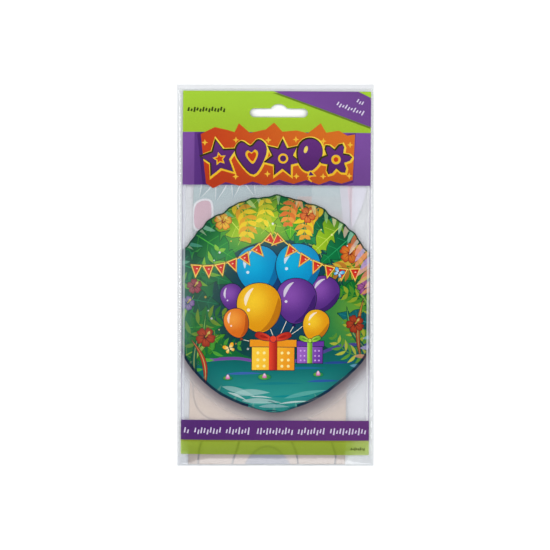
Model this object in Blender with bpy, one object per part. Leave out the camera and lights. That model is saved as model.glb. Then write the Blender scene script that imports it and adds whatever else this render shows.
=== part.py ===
"""A foil balloon in its retail packet, lying on its back.

A clear film pouch with a hang slot holds a printed translucent insert and, behind the insert,
the foil balloon folded flat. X runs across the packet, Y up it and Z out of its front.
The origin is on the surface that the packet lies on, under the middle of the pouch.
All sizes are in metres.
"""

import math

import bmesh
import bpy

# The balloon: a round foil envelope laid flat, folded in four across and in two along.
BALLOON_FLAT_DIAMETER = 0.457
LEAVES_ACROSS = 4
LEAVES_ALONG = 2
FOLD_TAKE_UP = 0.003
BUNDLE_THICKNESS = 0.0022
OUTER_LEAF_THICKNESS = 0.00035
OUTER_LEAF_INSET = 0.0006
OUTER_LEAF_START = 0.004
BUNDLE_LEAN = math.radians(1.1)
TAIL_WIDTH = 0.024
TAIL_LENGTH = 0.027
TAIL_FROM_FOLD = 0.016
WING_REACH = 0.0125
WING_LAP = 0.004
WING_FOOT = 0.163
WING_HEIGHT = 0.042
WING_THICKNESS = 0.0007

# The pouch: film folded at the foot, welded at the sides and sealed along the top.
FILM_THICKNESS = 0.00008
SEAM_PARTING = 0.00004
SIDE_WELD_WIDTH = 0.0008
TOP_SEAL_WIDTH = 0.003
FOOT_FOLD_WIDTH = 0.0004
ROOM_LEFT = 0.008
ROOM_RIGHT = 0.02075
ROOM_FOOT = 0.0013
ROOM_HEAD = 0.0442

# The insert: a printed sheet that hangs a little crooked in the pouch.
INSERT_THICKNESS = 0.0002
INSERT_SIDE_ROOM = 0.00325
INSERT_TOP_ROOM = 0.0049
INSERT_FOOT_ROOM = 0.0083
INSERT_SHIFT = 0.0003
INSERT_TURN = math.radians(-0.38)

# The hang slot: a long bar with a round hump in the middle of its upper edge.
SLOT_LENGTH = 0.04
SLOT_BAR_HEIGHT = 0.0052
SLOT_HUMP_RADIUS = 0.0065
SLOT_HUMP_RISE = 0.0032
SLOT_FILLET = 0.001
SLOT_BELOW_INSERT_TOP = 0.0155
SLOT_SHIFT = 0.0013
SLOT_MARGIN_IN_INSERT = 0.0006

# How the sheets lie on each other, and how far in from the seams the packet swells.
SHEET_GAP = 0.0003
EDGE_REACH = 0.0013
SWELL_LEFT = 0.025
SWELL_RIGHT = 0.035
SWELL_FOOT = 0.010
SWELL_HEAD = 0.060

FINE_STEPS = (0.0, 0.25, 0.55, 1.0)
COARSE_STEPS = (0.15, 0.32, 0.56, 1.0)
ARC_STEPS = 9
LEAF_STEPS = 14
CUTTER_DEPTH = 0.02

folded_width = BALLOON_FLAT_DIAMETER / LEAVES_ACROSS - FOLD_TAKE_UP
folded_height = BALLOON_FLAT_DIAMETER / LEAVES_ALONG - FOLD_TAKE_UP

pouch_width = ROOM_LEFT + folded_width + ROOM_RIGHT
pouch_height = ROOM_FOOT + folded_height + ROOM_HEAD
pouch_left, pouch_right = -pouch_width / 2, pouch_width / 2
pouch_foot, pouch_top = -pouch_height / 2, pouch_height / 2
inner_left, inner_right = pouch_left + SIDE_WELD_WIDTH, pouch_right - SIDE_WELD_WIDTH
inner_foot, inner_top = pouch_foot + FOOT_FOLD_WIDTH, pouch_top - TOP_SEAL_WIDTH

insert_width = pouch_width - 2 * INSERT_SIDE_ROOM
insert_height = pouch_height - INSERT_TOP_ROOM - INSERT_FOOT_ROOM
insert_centre = (INSERT_SHIFT, (INSERT_FOOT_ROOM - INSERT_TOP_ROOM) / 2)

bundle_left = pouch_left + ROOM_LEFT
bundle_foot = pouch_foot + ROOM_FOOT
bundle_floor = FILM_THICKNESS + SHEET_GAP


def rise(distance, reach):
    """A parabola from 0 at the seam to 1 where the distance equals the reach."""
    short_of_reach = 1 - min(max(distance / reach, 0.0), 1.0)
    return 1 - short_of_reach**2


def swell(x, y):
    """How full the packet is at a point: 0 at the seams, 1 over the middle of the bundle."""
    return (
        rise(x - inner_left, SWELL_LEFT)
        * rise(inner_right - x, SWELL_RIGHT)
        * rise(y - inner_foot, SWELL_FOOT)
        * rise(inner_top - y, SWELL_HEAD)
    )


def edge_lift(x, y):
    """How far the front film has left the back film: 0 at the seams, 1 just inside them."""
    return (
        rise(x - inner_left, EDGE_REACH)
        * rise(inner_right - x, EDGE_REACH)
        * rise(y - inner_foot, EDGE_REACH)
        * rise(inner_top - y, EDGE_REACH)
    )


def bundle_roof(x, y):
    """Height of the folded balloon's outermost leaf."""
    return bundle_floor + BUNDLE_THICKNESS * swell(x, y)


def inner_leaf_roof(x, y):
    """Height of the leaves beside and under the outermost one."""
    return bundle_floor + (BUNDLE_THICKNESS - OUTER_LEAF_THICKNESS) * swell(x, y)


def leaf_seat(x, y):
    """Half-way up the inner leaves, where the outer leaf and the tail start, so that they join."""
    return (bundle_floor + inner_leaf_roof(x, y)) / 2


def insert_underside(x, y):
    """Height of the insert's back, a gap above the folded balloon."""
    return bundle_roof(x, y) + SHEET_GAP


def insert_face(x, y):
    """Height of the insert's printed front."""
    return insert_underside(x, y) + INSERT_THICKNESS


def film_underside(x, y):
    """Height of the front film's inner face: just off the back film along the seams, and a
    gap above the insert inside them."""
    at_seam = FILM_THICKNESS + SEAM_PARTING
    over_insert = insert_face(x, y) + SHEET_GAP
    return at_seam + (over_insert - at_seam) * edge_lift(x, y)


def film_face(x, y):
    """Height of the packet's front."""
    return film_underside(x, y) + FILM_THICKNESS


def stations(start, end, start_reach, end_reach):
    """Grid lines from start to end, close together near both ends where the packet swells."""
    near_start = [start + step * EDGE_REACH for step in FINE_STEPS]
    near_start += [start + step * start_reach for step in COARSE_STEPS]
    near_end = [end - step * EDGE_REACH for step in FINE_STEPS]
    near_end += [end - step * end_reach for step in COARSE_STEPS]
    return sorted(near_start + near_end)


def new_collection(name):
    collection = bpy.data.collections.new(name)
    bpy.context.scene.collection.children.link(collection)
    return collection


def new_object(name, mesh, collection):
    made = bpy.data.objects.new(name, mesh)
    collection.objects.link(made)
    return made


def finish(name, colour, roughness, metallic=0.0, alpha=1.0):
    material = bpy.data.materials.new(name)
    material.use_nodes = True
    shader = material.node_tree.nodes["Principled BSDF"]
    shader.inputs["Base Color"].default_value = (*colour, 1.0)
    shader.inputs["Roughness"].default_value = roughness
    shader.inputs["Metallic"].default_value = metallic
    shader.inputs["Alpha"].default_value = alpha
    return material


def slab(name, columns, rows, place, floor, roof, collection):
    """A closed slab over a grid. place turns a column and row value into a point on the
    surface plane, and floor and roof give the heights of its two faces there."""
    sheet = bmesh.new()
    across, along = len(columns) - 1, len(rows) - 1
    bmesh.ops.create_grid(sheet, x_segments=across, y_segments=along, size=0.5)
    for vertex in sheet.verts:
        column = columns[round((vertex.co.x + 0.5) * across)]
        row = rows[round((vertex.co.y + 0.5) * along)]
        vertex.co.x, vertex.co.y = place(column, row)
    bmesh.ops.triangulate(sheet, faces=sheet.faces[:], quad_method="FIXED")
    below = list(sheet.verts)
    grown = bmesh.ops.extrude_face_region(sheet, geom=sheet.faces[:])
    above = [part for part in grown["geom"] if isinstance(part, bmesh.types.BMVert)]
    for vertex in below:
        vertex.co.z = floor(vertex.co.x, vertex.co.y)
    for vertex in above:
        vertex.co.z = roof(vertex.co.x, vertex.co.y)
    bmesh.ops.recalc_face_normals(sheet, faces=sheet.faces[:])
    mesh = bpy.data.meshes.new(name)
    sheet.to_mesh(mesh)
    sheet.free()
    return new_object(name, mesh, collection)


def as_drawn(x, y):
    return x, y


def in_insert(x, y):
    """A point of the insert's own plane, turned and shifted to where it lies in the pouch."""
    cos, sin = math.cos(INSERT_TURN), math.sin(INSERT_TURN)
    return (
        insert_centre[0] + x * cos - y * sin,
        insert_centre[1] + x * sin + y * cos,
    )


def arc(centre, radius, start, end):
    """Points along an arc, both ends included. Angles are in radians."""
    turns = [start + (end - start) * step / ARC_STEPS for step in range(ARC_STEPS + 1)]
    return [
        (centre[0] + radius * math.cos(turn), centre[1] + radius * math.sin(turn))
        for turn in turns
    ]


def slot_outline(margin):
    """The slot's outline round the middle of its bar, anticlockwise: round ends, and a hump
    that fillets run into. The margin moves every edge outwards."""
    bar = SLOT_BAR_HEIGHT / 2 + margin
    end = SLOT_LENGTH / 2 + margin - bar
    hump = SLOT_HUMP_RADIUS + margin
    hump_y = SLOT_BAR_HEIGHT / 2 + SLOT_HUMP_RISE - SLOT_HUMP_RADIUS
    fillet = SLOT_FILLET
    fillet_y = bar + fillet
    fillet_x = math.sqrt((hump + fillet) ** 2 - (fillet_y - hump_y) ** 2)
    lean = math.atan2(fillet_y - hump_y, fillet_x)
    outline = arc((end, 0), bar, -math.pi / 2, math.pi / 2)
    outline += arc((fillet_x, fillet_y), fillet, -math.pi / 2, lean - math.pi)
    outline += arc((0, hump_y), hump, lean, math.pi - lean)
    outline += arc((-fillet_x, fillet_y), fillet, -lean, -math.pi / 2)
    outline += arc((-end, 0), bar, math.pi / 2, 3 * math.pi / 2)
    return outline


def slot_cutter(name, margin, collection):
    """The slot as a tall plug, to cut with. It stands where the insert's slot is."""
    middle_y = insert_height / 2 - SLOT_BELOW_INSERT_TOP
    points = [in_insert(SLOT_SHIFT + x, middle_y + y) for x, y in slot_outline(margin)]
    curve = bpy.data.curves.new(name, "CURVE")
    curve.dimensions = "2D"
    curve.fill_mode = "BOTH"
    curve.extrude = CUTTER_DEPTH / 2
    spline = curve.splines.new("POLY")
    spline.points.add(len(points) - 1)
    for point, (x, y) in zip(spline.points, points):
        point.co = (x, y, 0, 1)
    spline.use_cyclic_u = True
    drawn = new_object(name + "_outline", curve, collection)
    bpy.context.view_layer.update()
    evaluated = drawn.evaluated_get(bpy.context.evaluated_depsgraph_get())
    mesh = bpy.data.meshes.new_from_object(evaluated)
    plug = bmesh.new()
    plug.from_mesh(mesh)
    bmesh.ops.remove_doubles(plug, verts=plug.verts[:], dist=1e-6)
    bmesh.ops.recalc_face_normals(plug, faces=plug.faces[:])
    plug.to_mesh(mesh)
    plug.free()
    cutter = new_object(name, mesh, collection)
    cutter.matrix_world = drawn.matrix_world.copy()
    bpy.data.objects.remove(drawn)
    return cutter


def combine(target, other, operation):
    """Adds a Boolean modifier and keeps the other object out of the finished model."""
    modifier = target.modifiers.new(other.name, "BOOLEAN")
    modifier.operation = operation
    modifier.solver = "EXACT"
    modifier.object = other
    other.hide_render = True
    other.display_type = "WIRE"


def build_pouch(parts, cutters):
    columns = stations(inner_left, inner_right, SWELL_LEFT, SWELL_RIGHT)
    rows = stations(inner_foot, inner_top, SWELL_FOOT, SWELL_HEAD)
    pouch = slab(
        "film_pouch",
        [pouch_left] + columns + [pouch_right],
        [pouch_foot] + rows + [pouch_top],
        as_drawn,
        lambda x, y: 0.0,
        film_face,
        parts,
    )
    inside = slab(
        "pouch_inside",
        columns,
        rows,
        as_drawn,
        lambda x, y: FILM_THICKNESS,
        film_underside,
        cutters,
    )
    combine(pouch, inside, "DIFFERENCE")
    combine(pouch, slot_cutter("pouch_slot", 0.0, cutters), "DIFFERENCE")
    pouch.data.materials.append(
        finish("clear_film", (0.86, 0.88, 0.92), roughness=0.08, alpha=0.2)
    )


def build_insert(parts, cutters):
    half_width, half_height = insert_width / 2, insert_height / 2
    insert = slab(
        "printed_insert",
        stations(-half_width, half_width, SWELL_LEFT, SWELL_RIGHT),
        stations(-half_height, half_height, SWELL_FOOT, SWELL_HEAD),
        in_insert,
        insert_underside,
        insert_face,
        parts,
    )
    combine(insert, slot_cutter("insert_slot", SLOT_MARGIN_IN_INSERT, cutters), "DIFFERENCE")
    insert.data.materials.append(
        finish("printed_sheet", (0.28, 0.44, 0.12), roughness=0.3)
    )


def in_bundle(x, y):
    """A point of the folded strip, measured from its lower left corner. The strip leans."""
    return bundle_left + x + math.tan(BUNDLE_LEAN) * y, bundle_foot + y


def disc_height(from_middle):
    """Half the flat balloon's height at a distance from its middle, less the fold."""
    radius = BALLOON_FLAT_DIAMETER / 2
    return math.sqrt(max(radius**2 - from_middle**2, 0.0)) - FOLD_TAKE_UP


def leaf(name, first, last, inset, start_y, top_of, floor, roof, collection):
    """A leaf of the folded balloon, from x first to x last and from start_y up to top_of(x)."""
    columns = [first + (last - first) * step / LEAF_STEPS for step in range(LEAF_STEPS + 1)]
    rows = [step / LEAF_STEPS for step in range(LEAF_STEPS + 1)]

    def place(x, share):
        low = start_y(x)
        return in_bundle(x, low + (top_of(x) - inset - low) * share)

    return slab(name, columns, rows, place, floor, roof, collection)


def build_wing(cutters):
    """The corner of an inner leaf that has slipped out past the strip's right edge. Its free
    edge runs out from the foot in a quarter wave."""
    shares = [step / LEAF_STEPS for step in range(LEAF_STEPS + 1)]

    def place(across, up):
        reach = WING_REACH * math.sin(up * math.pi / 2)
        return in_bundle(
            folded_width - WING_LAP + (WING_LAP + reach) * across,
            WING_FOOT + WING_HEIGHT * up,
        )

    return slab(
        "wing",
        shares,
        shares,
        place,
        lambda x, y: bundle_floor,
        lambda x, y: bundle_floor + WING_THICKNESS * swell(x, y),
        cutters,
    )


def build_balloon(parts, cutters):
    inset = OUTER_LEAF_INSET
    balloon = leaf(
        "folded_balloon",
        0.0,
        folded_width,
        0.0,
        lambda x: 0.0,
        disc_height,
        lambda x, y: bundle_floor,
        inner_leaf_roof,
        parts,
    )

    def outer_edge(x):
        """The disc's round rim, which runs in over the strip from the side."""
        return disc_height(BALLOON_FLAT_DIAMETER / 2 - x)

    outer_leaf = leaf(
        "outer_leaf",
        OUTER_LEAF_START,
        folded_width - inset,
        inset,
        lambda x: inset,
        outer_edge,
        leaf_seat,
        bundle_roof,
        cutters,
    )
    tail = leaf(
        "tail",
        TAIL_FROM_FOLD,
        TAIL_FROM_FOLD + TAIL_WIDTH,
        inset,
        lambda x: disc_height(x) - TAIL_LENGTH,
        disc_height,
        leaf_seat,
        bundle_roof,
        cutters,
    )
    combine(balloon, outer_leaf, "UNION")
    combine(balloon, tail, "UNION")
    combine(balloon, build_wing(cutters), "UNION")
    balloon.data.materials.append(
        finish("silver_foil", (0.75, 0.74, 0.76), roughness=0.25, metallic=0.9)
    )


def build():
    for old in list(bpy.data.objects):
        bpy.data.objects.remove(old)
    parts = new_collection("balloon_packet")
    cutters = new_collection("cutters")
    build_pouch(parts, cutters)
    build_insert(parts, cutters)
    build_balloon(parts, cutters)


build()
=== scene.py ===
"""The looks of a foil balloon in its retail packet, lying on its back.

A clear film pouch holds a printed translucent insert and, behind it, the foil balloon folded
flat. The packet's plan is drawn in millimetres. Each sheet is a plan of triangles that a height
formula lifts, and prints are inks laid over each other on that plan, as on a press.
"""

import math
from dataclasses import dataclass
from typing import Any

import bpy
import numpy as np
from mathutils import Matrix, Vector
from mathutils.geometry import delaunay_2d_cdt


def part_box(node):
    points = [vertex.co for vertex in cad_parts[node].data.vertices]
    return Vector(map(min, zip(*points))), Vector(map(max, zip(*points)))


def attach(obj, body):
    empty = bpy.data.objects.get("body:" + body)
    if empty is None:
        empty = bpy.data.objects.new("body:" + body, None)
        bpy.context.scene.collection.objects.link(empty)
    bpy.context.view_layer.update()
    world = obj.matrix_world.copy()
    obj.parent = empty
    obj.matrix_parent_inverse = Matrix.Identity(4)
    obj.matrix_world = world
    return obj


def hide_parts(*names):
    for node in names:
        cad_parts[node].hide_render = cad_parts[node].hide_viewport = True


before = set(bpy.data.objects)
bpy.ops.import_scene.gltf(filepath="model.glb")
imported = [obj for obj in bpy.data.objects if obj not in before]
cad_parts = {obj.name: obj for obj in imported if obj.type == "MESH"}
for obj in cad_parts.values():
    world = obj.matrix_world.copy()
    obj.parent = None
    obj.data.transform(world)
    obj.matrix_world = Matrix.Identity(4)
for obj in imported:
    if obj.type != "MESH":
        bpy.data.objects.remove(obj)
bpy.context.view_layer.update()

MM = 0.001
TINY = 1e-9

# The pouch, in millimetres, as in the solids
pouch_low, pouch_high = (np.array(corner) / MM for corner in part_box("film_pouch"))
FILM = 0.08
SEAM_PARTING = 0.04
SIDE_WELD = 0.8
TOP_SEAL = 3.0
FOOT_FOLD = 0.4
GAP = 0.3
EDGE_REACH = 1.3
SWELL_LEFT, SWELL_RIGHT, SWELL_FOOT, SWELL_HEAD = 25.0, 35.0, 10.0, 60.0
BUNDLE = 2.2
THINNEST = 0.05

# The insert
SHEET = 0.2
SHEET_WIDE, SHEET_TALL = 133.5, 257.8
SHEET_CENTRE = (0.3, 1.7)
SHEET_TURN = math.radians(-0.38)
HALF_WIDE, HALF_TALL = SHEET_WIDE / 2, SHEET_TALL / 2

# The hang slot, in the insert's own plane
SLOT_CENTRE = (1.3, 113.4)
SLOT_LONG, SLOT_BAR = 40.0, 5.2
SLOT_HUMP, SLOT_RISE, SLOT_FILLET = 6.5, 3.2, 1.0
SLOT_ROOM = 0.6

# The print's bands, by the height of their lower edges in the insert's plane
HEADER_FOOT, TITLE_FOOT, WINDOW_FOOT, NOTE_FOOT = 99.6, 62.1, -104.6, -118.7
BAND_LAP, BAND_GLOW = 1.2, 2.4
WINDOW_TONE, WINDOW_HIDES, BACK_HIDES = "#f8f7fb", 0.11, 0.06
CUT_TONE, CUT_HIDES = "#d8d6e0", 0.8

# The round picture
DISC = np.array([0.35, -21.9])
DISC_RADIUS = 75.7

# How far apart a plan's loose points lie, how long an edge of its outlines may be, and how
# near two of its places count as one or as touching
PLAIN_STEP, FINE_STEP, FILM_STEP, SEEN_STEP, HIDDEN_STEP = 2.4, 1.5, 1.75, 2.6, 7.0
LONGEST_EDGE = 2.4
SAME_PLACE, TOUCHING = 1e-4, 0.01

# The folded balloon
FOLDED_WIDE, FOLDED_TALL = 111.25, 225.5
FLAT_RADIUS = 228.5
FOLD_TAKE_UP = 3.0
BUNDLE_LEFT = pouch_low[0] + 8.0
BUNDLE_FOOT = pouch_low[1] + 1.3
BUNDLE_LEAN = math.tan(math.radians(1.1))
INNER_LEAVES = 5
OUTER_START, OUTER_INSET = 4.0, 0.6
TAIL_LEFT, TAIL_RIGHT, TAIL_LONG = 16.0, 40.0, 27.0
WING_REACH, WING_FOOT, WING_TALL, WING_LAP = 12.5, 163.0, 42.0, 4.0

# Lines and a patch of the foil's print, from the folded strip's lower left corner
FOIL_LINES = [
    [(2, 60), (4, 44), (12, 34), (26, 30)], [(12, 22), (8, 12), (7, 0)],
    [(38, 22), (34, 10), (31, 0)], [(80, 34), (96, 26), (104, 8), (104, 0)],
    [(46, 20), (52, 24), (60, 24), (66, 18)], [(70, 22), (76, 10), (78, 0)],
]
FOIL_PATCH = [(42, -4), (46, 8), (56, 13), (66, 8), (71, -4)]


# Outlines in the plan, all in millimetres and anticlockwise

def polar(turns, radii, centre=(0.0, 0.0)):
    """Points at the given angles and distances from a centre."""
    turns, radii = np.asarray(turns), np.asarray(radii)
    return np.stack([centre[0] + radii * np.cos(turns), centre[1] + radii * np.sin(turns)], 1)


def all_round(count):
    """Angles spaced evenly round a circle."""
    return np.linspace(0, 2 * np.pi, count, endpoint=False)


def oval(centre, wide, tall=None, turn=0.0, sides=28):
    """An ellipse: the cosine and sine of one angle, stretched, then turned about its centre."""
    angle = all_round(sides)
    flat = np.stack([wide * np.cos(angle), (tall or wide) * np.sin(angle)], 1)
    return moved(flat, centre, turn)


def box(left, foot, right, top):
    """An upright rectangle."""
    return np.array([(left, foot), (right, foot), (right, top), (left, top)], float)


def moved(outline, shift=(0.0, 0.0), turn=0.0, size=1.0):
    """The outline scaled, then turned about 0 by the rotation formula, then shifted."""
    cos, sin = math.cos(turn), math.sin(turn)
    x, y = np.asarray(outline, float).T * size
    return np.stack([shift[0] + x * cos - y * sin, shift[1] + x * sin + y * cos], 1)


def wound(outline):
    """The outline with its points in anticlockwise order, by the sign of its area."""
    outline = np.asarray(outline, float)
    x, y = outline.T
    area = np.sum(x * np.roll(y, -1) - np.roll(x, -1) * y)
    return outline if area > 0 else outline[::-1]


def through(points, steps=6, closed=False):
    """A smooth line through points: Catmull-Rom pieces, each a cubic in its own share."""
    points = np.asarray(points, float)
    if closed:
        before, after = np.roll(points, 1, 0), np.roll(points, -1, 0)
        later = np.roll(points, -2, 0)
        starts = points
    else:
        ends = np.vstack([2 * points[0] - points[1], points, 2 * points[-1] - points[-2]])
        before, starts, after, later = ends[:-3], ends[1:-2], ends[2:-1], ends[3:]
    share = (np.arange(steps) / steps)[None, :, None]
    a, b, c, d = (p[:, None, :] for p in (before, starts, after, later))
    curve = 0.5 * (
        2 * b
        + (c - a) * share
        + (2 * a - 5 * b + 4 * c - d) * share**2
        + (3 * b - a - 3 * c + d) * share**3
    )
    curve = curve.reshape(-1, 2)
    return curve if closed else np.vstack([curve, points[-1]])


def blob(points, steps=6):
    """A smooth closed outline through the points."""
    return wound(through(points, steps, closed=True))


def sideways(line):
    """Unit vectors square to an open line, from the difference of each point's neighbours."""
    along = np.gradient(line, axis=0)
    along /= np.linalg.norm(along, axis=1, keepdims=True) + TINY
    return np.stack([-along[:, 1], along[:, 0]], 1)


def ribbon(line, width):
    """The outline of a stroke: the line moved out to both sides by half its width there."""
    line = np.asarray(line, float)
    half = np.broadcast_to(np.asarray(width, float) / 2, (len(line),))[:, None]
    out = sideways(line) * half
    return wound(np.vstack([line + out, (line - out)[::-1]]))


def grown(outline, by):
    """The outline with each edge moved out by a distance, and its corners mitred up to twice
    that distance."""
    edge = np.roll(outline, -1, 0) - outline
    edge /= np.linalg.norm(edge, axis=1, keepdims=True) + TINY
    normal = np.stack([edge[:, 1], -edge[:, 0]], 1)
    corner = normal + np.roll(normal, 1, 0)
    length = np.linalg.norm(corner, axis=1, keepdims=True) + TINY
    reach = np.minimum(2.0, 2.0 / length)
    return outline + corner / length * reach * by


def blade(base, tip, width, bend, steps=9):
    """A leaf from base to tip: its width is a sine of the share along, fullest a little before
    the middle, with a hair left at both ends, and its middle line bows sideways by a sine."""
    base, tip = np.asarray(base, float), np.asarray(tip, float)
    share = np.linspace(0, 1, steps)
    along = tip - base
    side = np.array([-along[1], along[0]]) / (np.linalg.norm(along) + TINY)
    middle = base + along * share[:, None] + side * bend * np.sin(np.pi * share)[:, None]
    return ribbon(middle, width * np.sin(np.pi * share**0.8) + 0.02)


def star(centre, radius, points, depth, turn=math.pi / 2):
    """A star: the radius alternates between full and a share of it."""
    turns = turn + np.arange(points * 2) * np.pi / points
    radii = np.where(np.arange(points * 2) % 2 == 0, radius, radius * depth)
    return polar(turns, radii, centre)


def in_sheet(points):
    """From the insert's own plane to the packet's: turned, then shifted."""
    return moved(points, SHEET_CENTRE, SHEET_TURN)


def in_bundle(points):
    """From the folded strip's lower left corner to the packet's plane. The strip leans."""
    x, y = np.asarray(points, float).T
    return np.stack([BUNDLE_LEFT + x + BUNDLE_LEAN * y, BUNDLE_FOOT + y], 1)


def slot_outline(room):
    """The hang slot round the middle of its bar: round ends and a filleted hump."""
    bar = SLOT_BAR / 2 + room
    end = SLOT_LONG / 2 + room - bar
    hump = SLOT_HUMP + room
    hump_y = SLOT_BAR / 2 + SLOT_RISE - SLOT_HUMP
    fillet_y = bar + SLOT_FILLET
    fillet_x = math.sqrt((hump + SLOT_FILLET) ** 2 - (fillet_y - hump_y) ** 2)
    lean = math.atan2(fillet_y - hump_y, fillet_x)
    quarter = math.pi / 2

    def arc(centre, radius, start, stop):
        """A piece of a circle, between two angles."""
        return polar(np.linspace(start, stop, 12), radius, centre)

    outline = np.vstack([
        arc((end, 0), bar, -quarter, quarter),
        arc((fillet_x, fillet_y), SLOT_FILLET, -quarter, lean - math.pi),
        arc((0, hump_y), hump, lean, math.pi - lean),
        arc((-fillet_x, fillet_y), SLOT_FILLET, -lean, -quarter),
        arc((-end, 0), bar, quarter, 3 * quarter),
    ])
    return moved(outline, SLOT_CENTRE)


# Colour

def rgb(tone):
    """Linear red, green and blue of an sRGB hex tone: the sRGB curve undone."""
    value = np.array([int(tone[k:k + 2], 16) for k in (1, 3, 5)]) / 255
    return np.where(value <= 0.04045, value / 12.92, ((value + 0.055) / 1.055) ** 2.4)


def smooth(value, low=0.0, high=1.0):
    """0 below low, 1 above high, and the cubic 3t^2 - 2t^3 between."""
    share = np.clip((value - low) / (high - low), 0, 1)
    return share * share * (3 - 2 * share)


def ramp(most, low, high, axis=1):
    """A share of ink that rises to the most by a cubic step up the plan, or along it with
    axis 0."""
    return lambda places: most * smooth(places[..., axis], low, high)


@dataclass
class Ink:
    """One pass of ink: an outline and its tone, which may fade to another tone along an axis
    or out from a glow. share is how much it covers what is printed below, a number or a
    formula of the place, hides is how far it stops light from behind, and within is another
    outline that it stops at."""

    outline: Any
    tone: str
    fade: str = ""
    axis: Any = None
    glow: Any = None
    share: Any = 1.0
    hides: float = 0.96
    within: Any = None

    def colour(self, places):
        """The tone at each place, blended to the fading tone by a cubic step."""
        start = rgb(self.tone)
        if not self.fade:
            return np.broadcast_to(start, places.shape[:-1] + (3,))
        if self.axis is not None:
            first, last = (np.asarray(end, float) for end in self.axis)
            run = last - first
            far = ((places - first) @ run) / (run @ run)
        else:
            centre, reach = self.glow
            far = np.linalg.norm(places - np.asarray(centre), axis=-1) / reach
        return start + (rgb(self.fade) - start) * smooth(far)[..., None]


def inside(places, outline):
    """Which places lie in an outline, by the winding rule: the edges that a ray to the right
    crosses upwards, less those that it crosses downwards."""
    found = np.zeros(len(places), bool)
    low, high = outline.min(0), outline.max(0)
    near = np.nonzero(np.all((places >= low) & (places <= high), axis=1))[0]
    x, y = places[near, 0][:, None], places[near, 1][:, None]
    x0, y0 = outline.T
    x1, y1 = np.roll(outline, -1, 0).T
    to_left = (x1 - x0) * (y - y0) - (x - x0) * (y1 - y0)
    upward = (y0 <= y) & (y1 > y) & (to_left > 0)
    downward = (y0 > y) & (y1 <= y) & (to_left < 0)
    found[near] = upward.sum(1) != downward.sum(1)
    return found


def dense(outline):
    """The outline with its long edges split evenly, so that a lifted sheet can bend there."""
    parts = []
    for start, stop in zip(outline, np.roll(outline, -1, 0)):
        pieces = max(1, math.ceil(math.dist(start, stop) / LONGEST_EDGE))
        parts.append(start + (stop - start) * (np.arange(pieces) / pieces)[:, None])
    return np.vstack(parts)


def free_edges(triangles):
    """The edges that only one triangle has, in its own direction."""
    edges = np.vstack([triangles[:, [0, 1]], triangles[:, [1, 2]], triangles[:, [2, 0]]])
    reverse = {(b, a) for a, b in edges.tolist()}
    return np.array([edge for edge in edges.tolist() if tuple(edge) not in reverse])


def plan(outline, holes, lines, lattices, other=None):
    """Triangles that fill an outline less its holes. They follow every line, and the loose
    points of each lattice, given as a spacing and the box it fills. With another plan of the
    same outline and holes they follow its free edges instead of lines, so that the two meet
    point for point."""
    if other is None:
        points, edges, first = [], [], 0
        for loop in map(dense, (outline, *holes, *lines)):
            points.append(loop)
            run = np.arange(len(loop))
            edges.append(first + np.stack([run, (run + 1) % len(loop)], 1))
            first += len(loop)
    else:
        used, renumbered = np.unique(free_edges(other[1]), return_inverse=True)
        points, edges = [other[0][used]], [renumbered.reshape(-1, 2)]
    for spacing, (left, foot, right, top) in lattices:
        xs = np.arange(left + spacing / 2, right, spacing)
        ys = np.arange(foot + spacing / 2, top, spacing)
        grid_x, grid_y = np.meshgrid(xs, ys)
        grid_x[1::2] += spacing / 2
        points.append(np.stack([grid_x.ravel(), grid_y.ravel()], 1))
    corners = [Vector(point) for point in np.vstack(points)]
    edge_list = [tuple(edge) for edge in np.vstack(edges).tolist()]
    places, _, triangles, *_ = delaunay_2d_cdt(corners, edge_list, [], 0, SAME_PLACE, False)
    places = np.array([tuple(place) for place in places])
    triangles = np.array([tuple(triangle) for triangle in triangles])
    middles = places[triangles].mean(1)
    kept = inside(middles, outline)
    for hole in holes:
        kept &= ~inside(middles, hole)
    sides = places[triangles]
    one, two = sides[:, 1] - sides[:, 0], sides[:, 2] - sides[:, 0]
    area = one[:, 0] * two[:, 1] - one[:, 1] * two[:, 0]
    kept &= np.abs(area) > TINY
    triangles[area < 0] = triangles[area < 0][:, ::-1]
    used, renumbered = np.unique(triangles[kept], return_inverse=True)
    return places[used], renumbered.reshape(-1, 3)


def printed(places, triangles, inks, ground, ground_hides):
    """The print at each triangle's corners, as red, green, blue and how much it hides. Each
    ink in turn is mixed over what lies below it, in the triangles whose middles it covers."""
    corners = places[triangles]
    middles = corners.mean(1)
    shown = np.empty(triangles.shape + (4,))
    shown[..., :3] = rgb(ground)
    shown[..., 3] = ground_hides
    masks = {id(ink.within): ink.within for ink in inks if ink.within is not None}
    masks = {key: inside(middles, mask) for key, mask in masks.items()}
    for ink in inks:
        hit = inside(middles, ink.outline)
        if ink.within is not None:
            hit &= masks[id(ink.within)]
        spots = corners[hit]
        if not len(spots):
            continue
        share = ink.share(spots) if callable(ink.share) else np.full(spots.shape[:-1], ink.share)
        new = np.concatenate([ink.colour(spots), np.full(share.shape + (1,), ink.hides)], -1)
        shown[hit] += (new - shown[hit]) * share[..., None]
    return shown


# The heights of the packet's sheets, in millimetres

seam_left, seam_right = pouch_low[0] + SIDE_WELD, pouch_high[0] - SIDE_WELD
seam_foot, seam_top = pouch_low[1] + FOOT_FOLD, pouch_high[1] - TOP_SEAL


def rise(distance, reach):
    """A parabola from 0 at the seam to 1 at the reach."""
    return 1 - (1 - np.clip(distance / reach, 0, 1)) ** 2


def from_seams(x, y, left, right, foot, top):
    """The four parabolas from the seams, multiplied."""
    return (
        rise(x - seam_left, left) * rise(seam_right - x, right)
        * rise(y - seam_foot, foot) * rise(seam_top - y, top)
    )


def swell(x, y):
    """How full the packet is: 0 at the seams, 1 over the bundle's middle."""
    return from_seams(x, y, SWELL_LEFT, SWELL_RIGHT, SWELL_FOOT, SWELL_HEAD)


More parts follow.
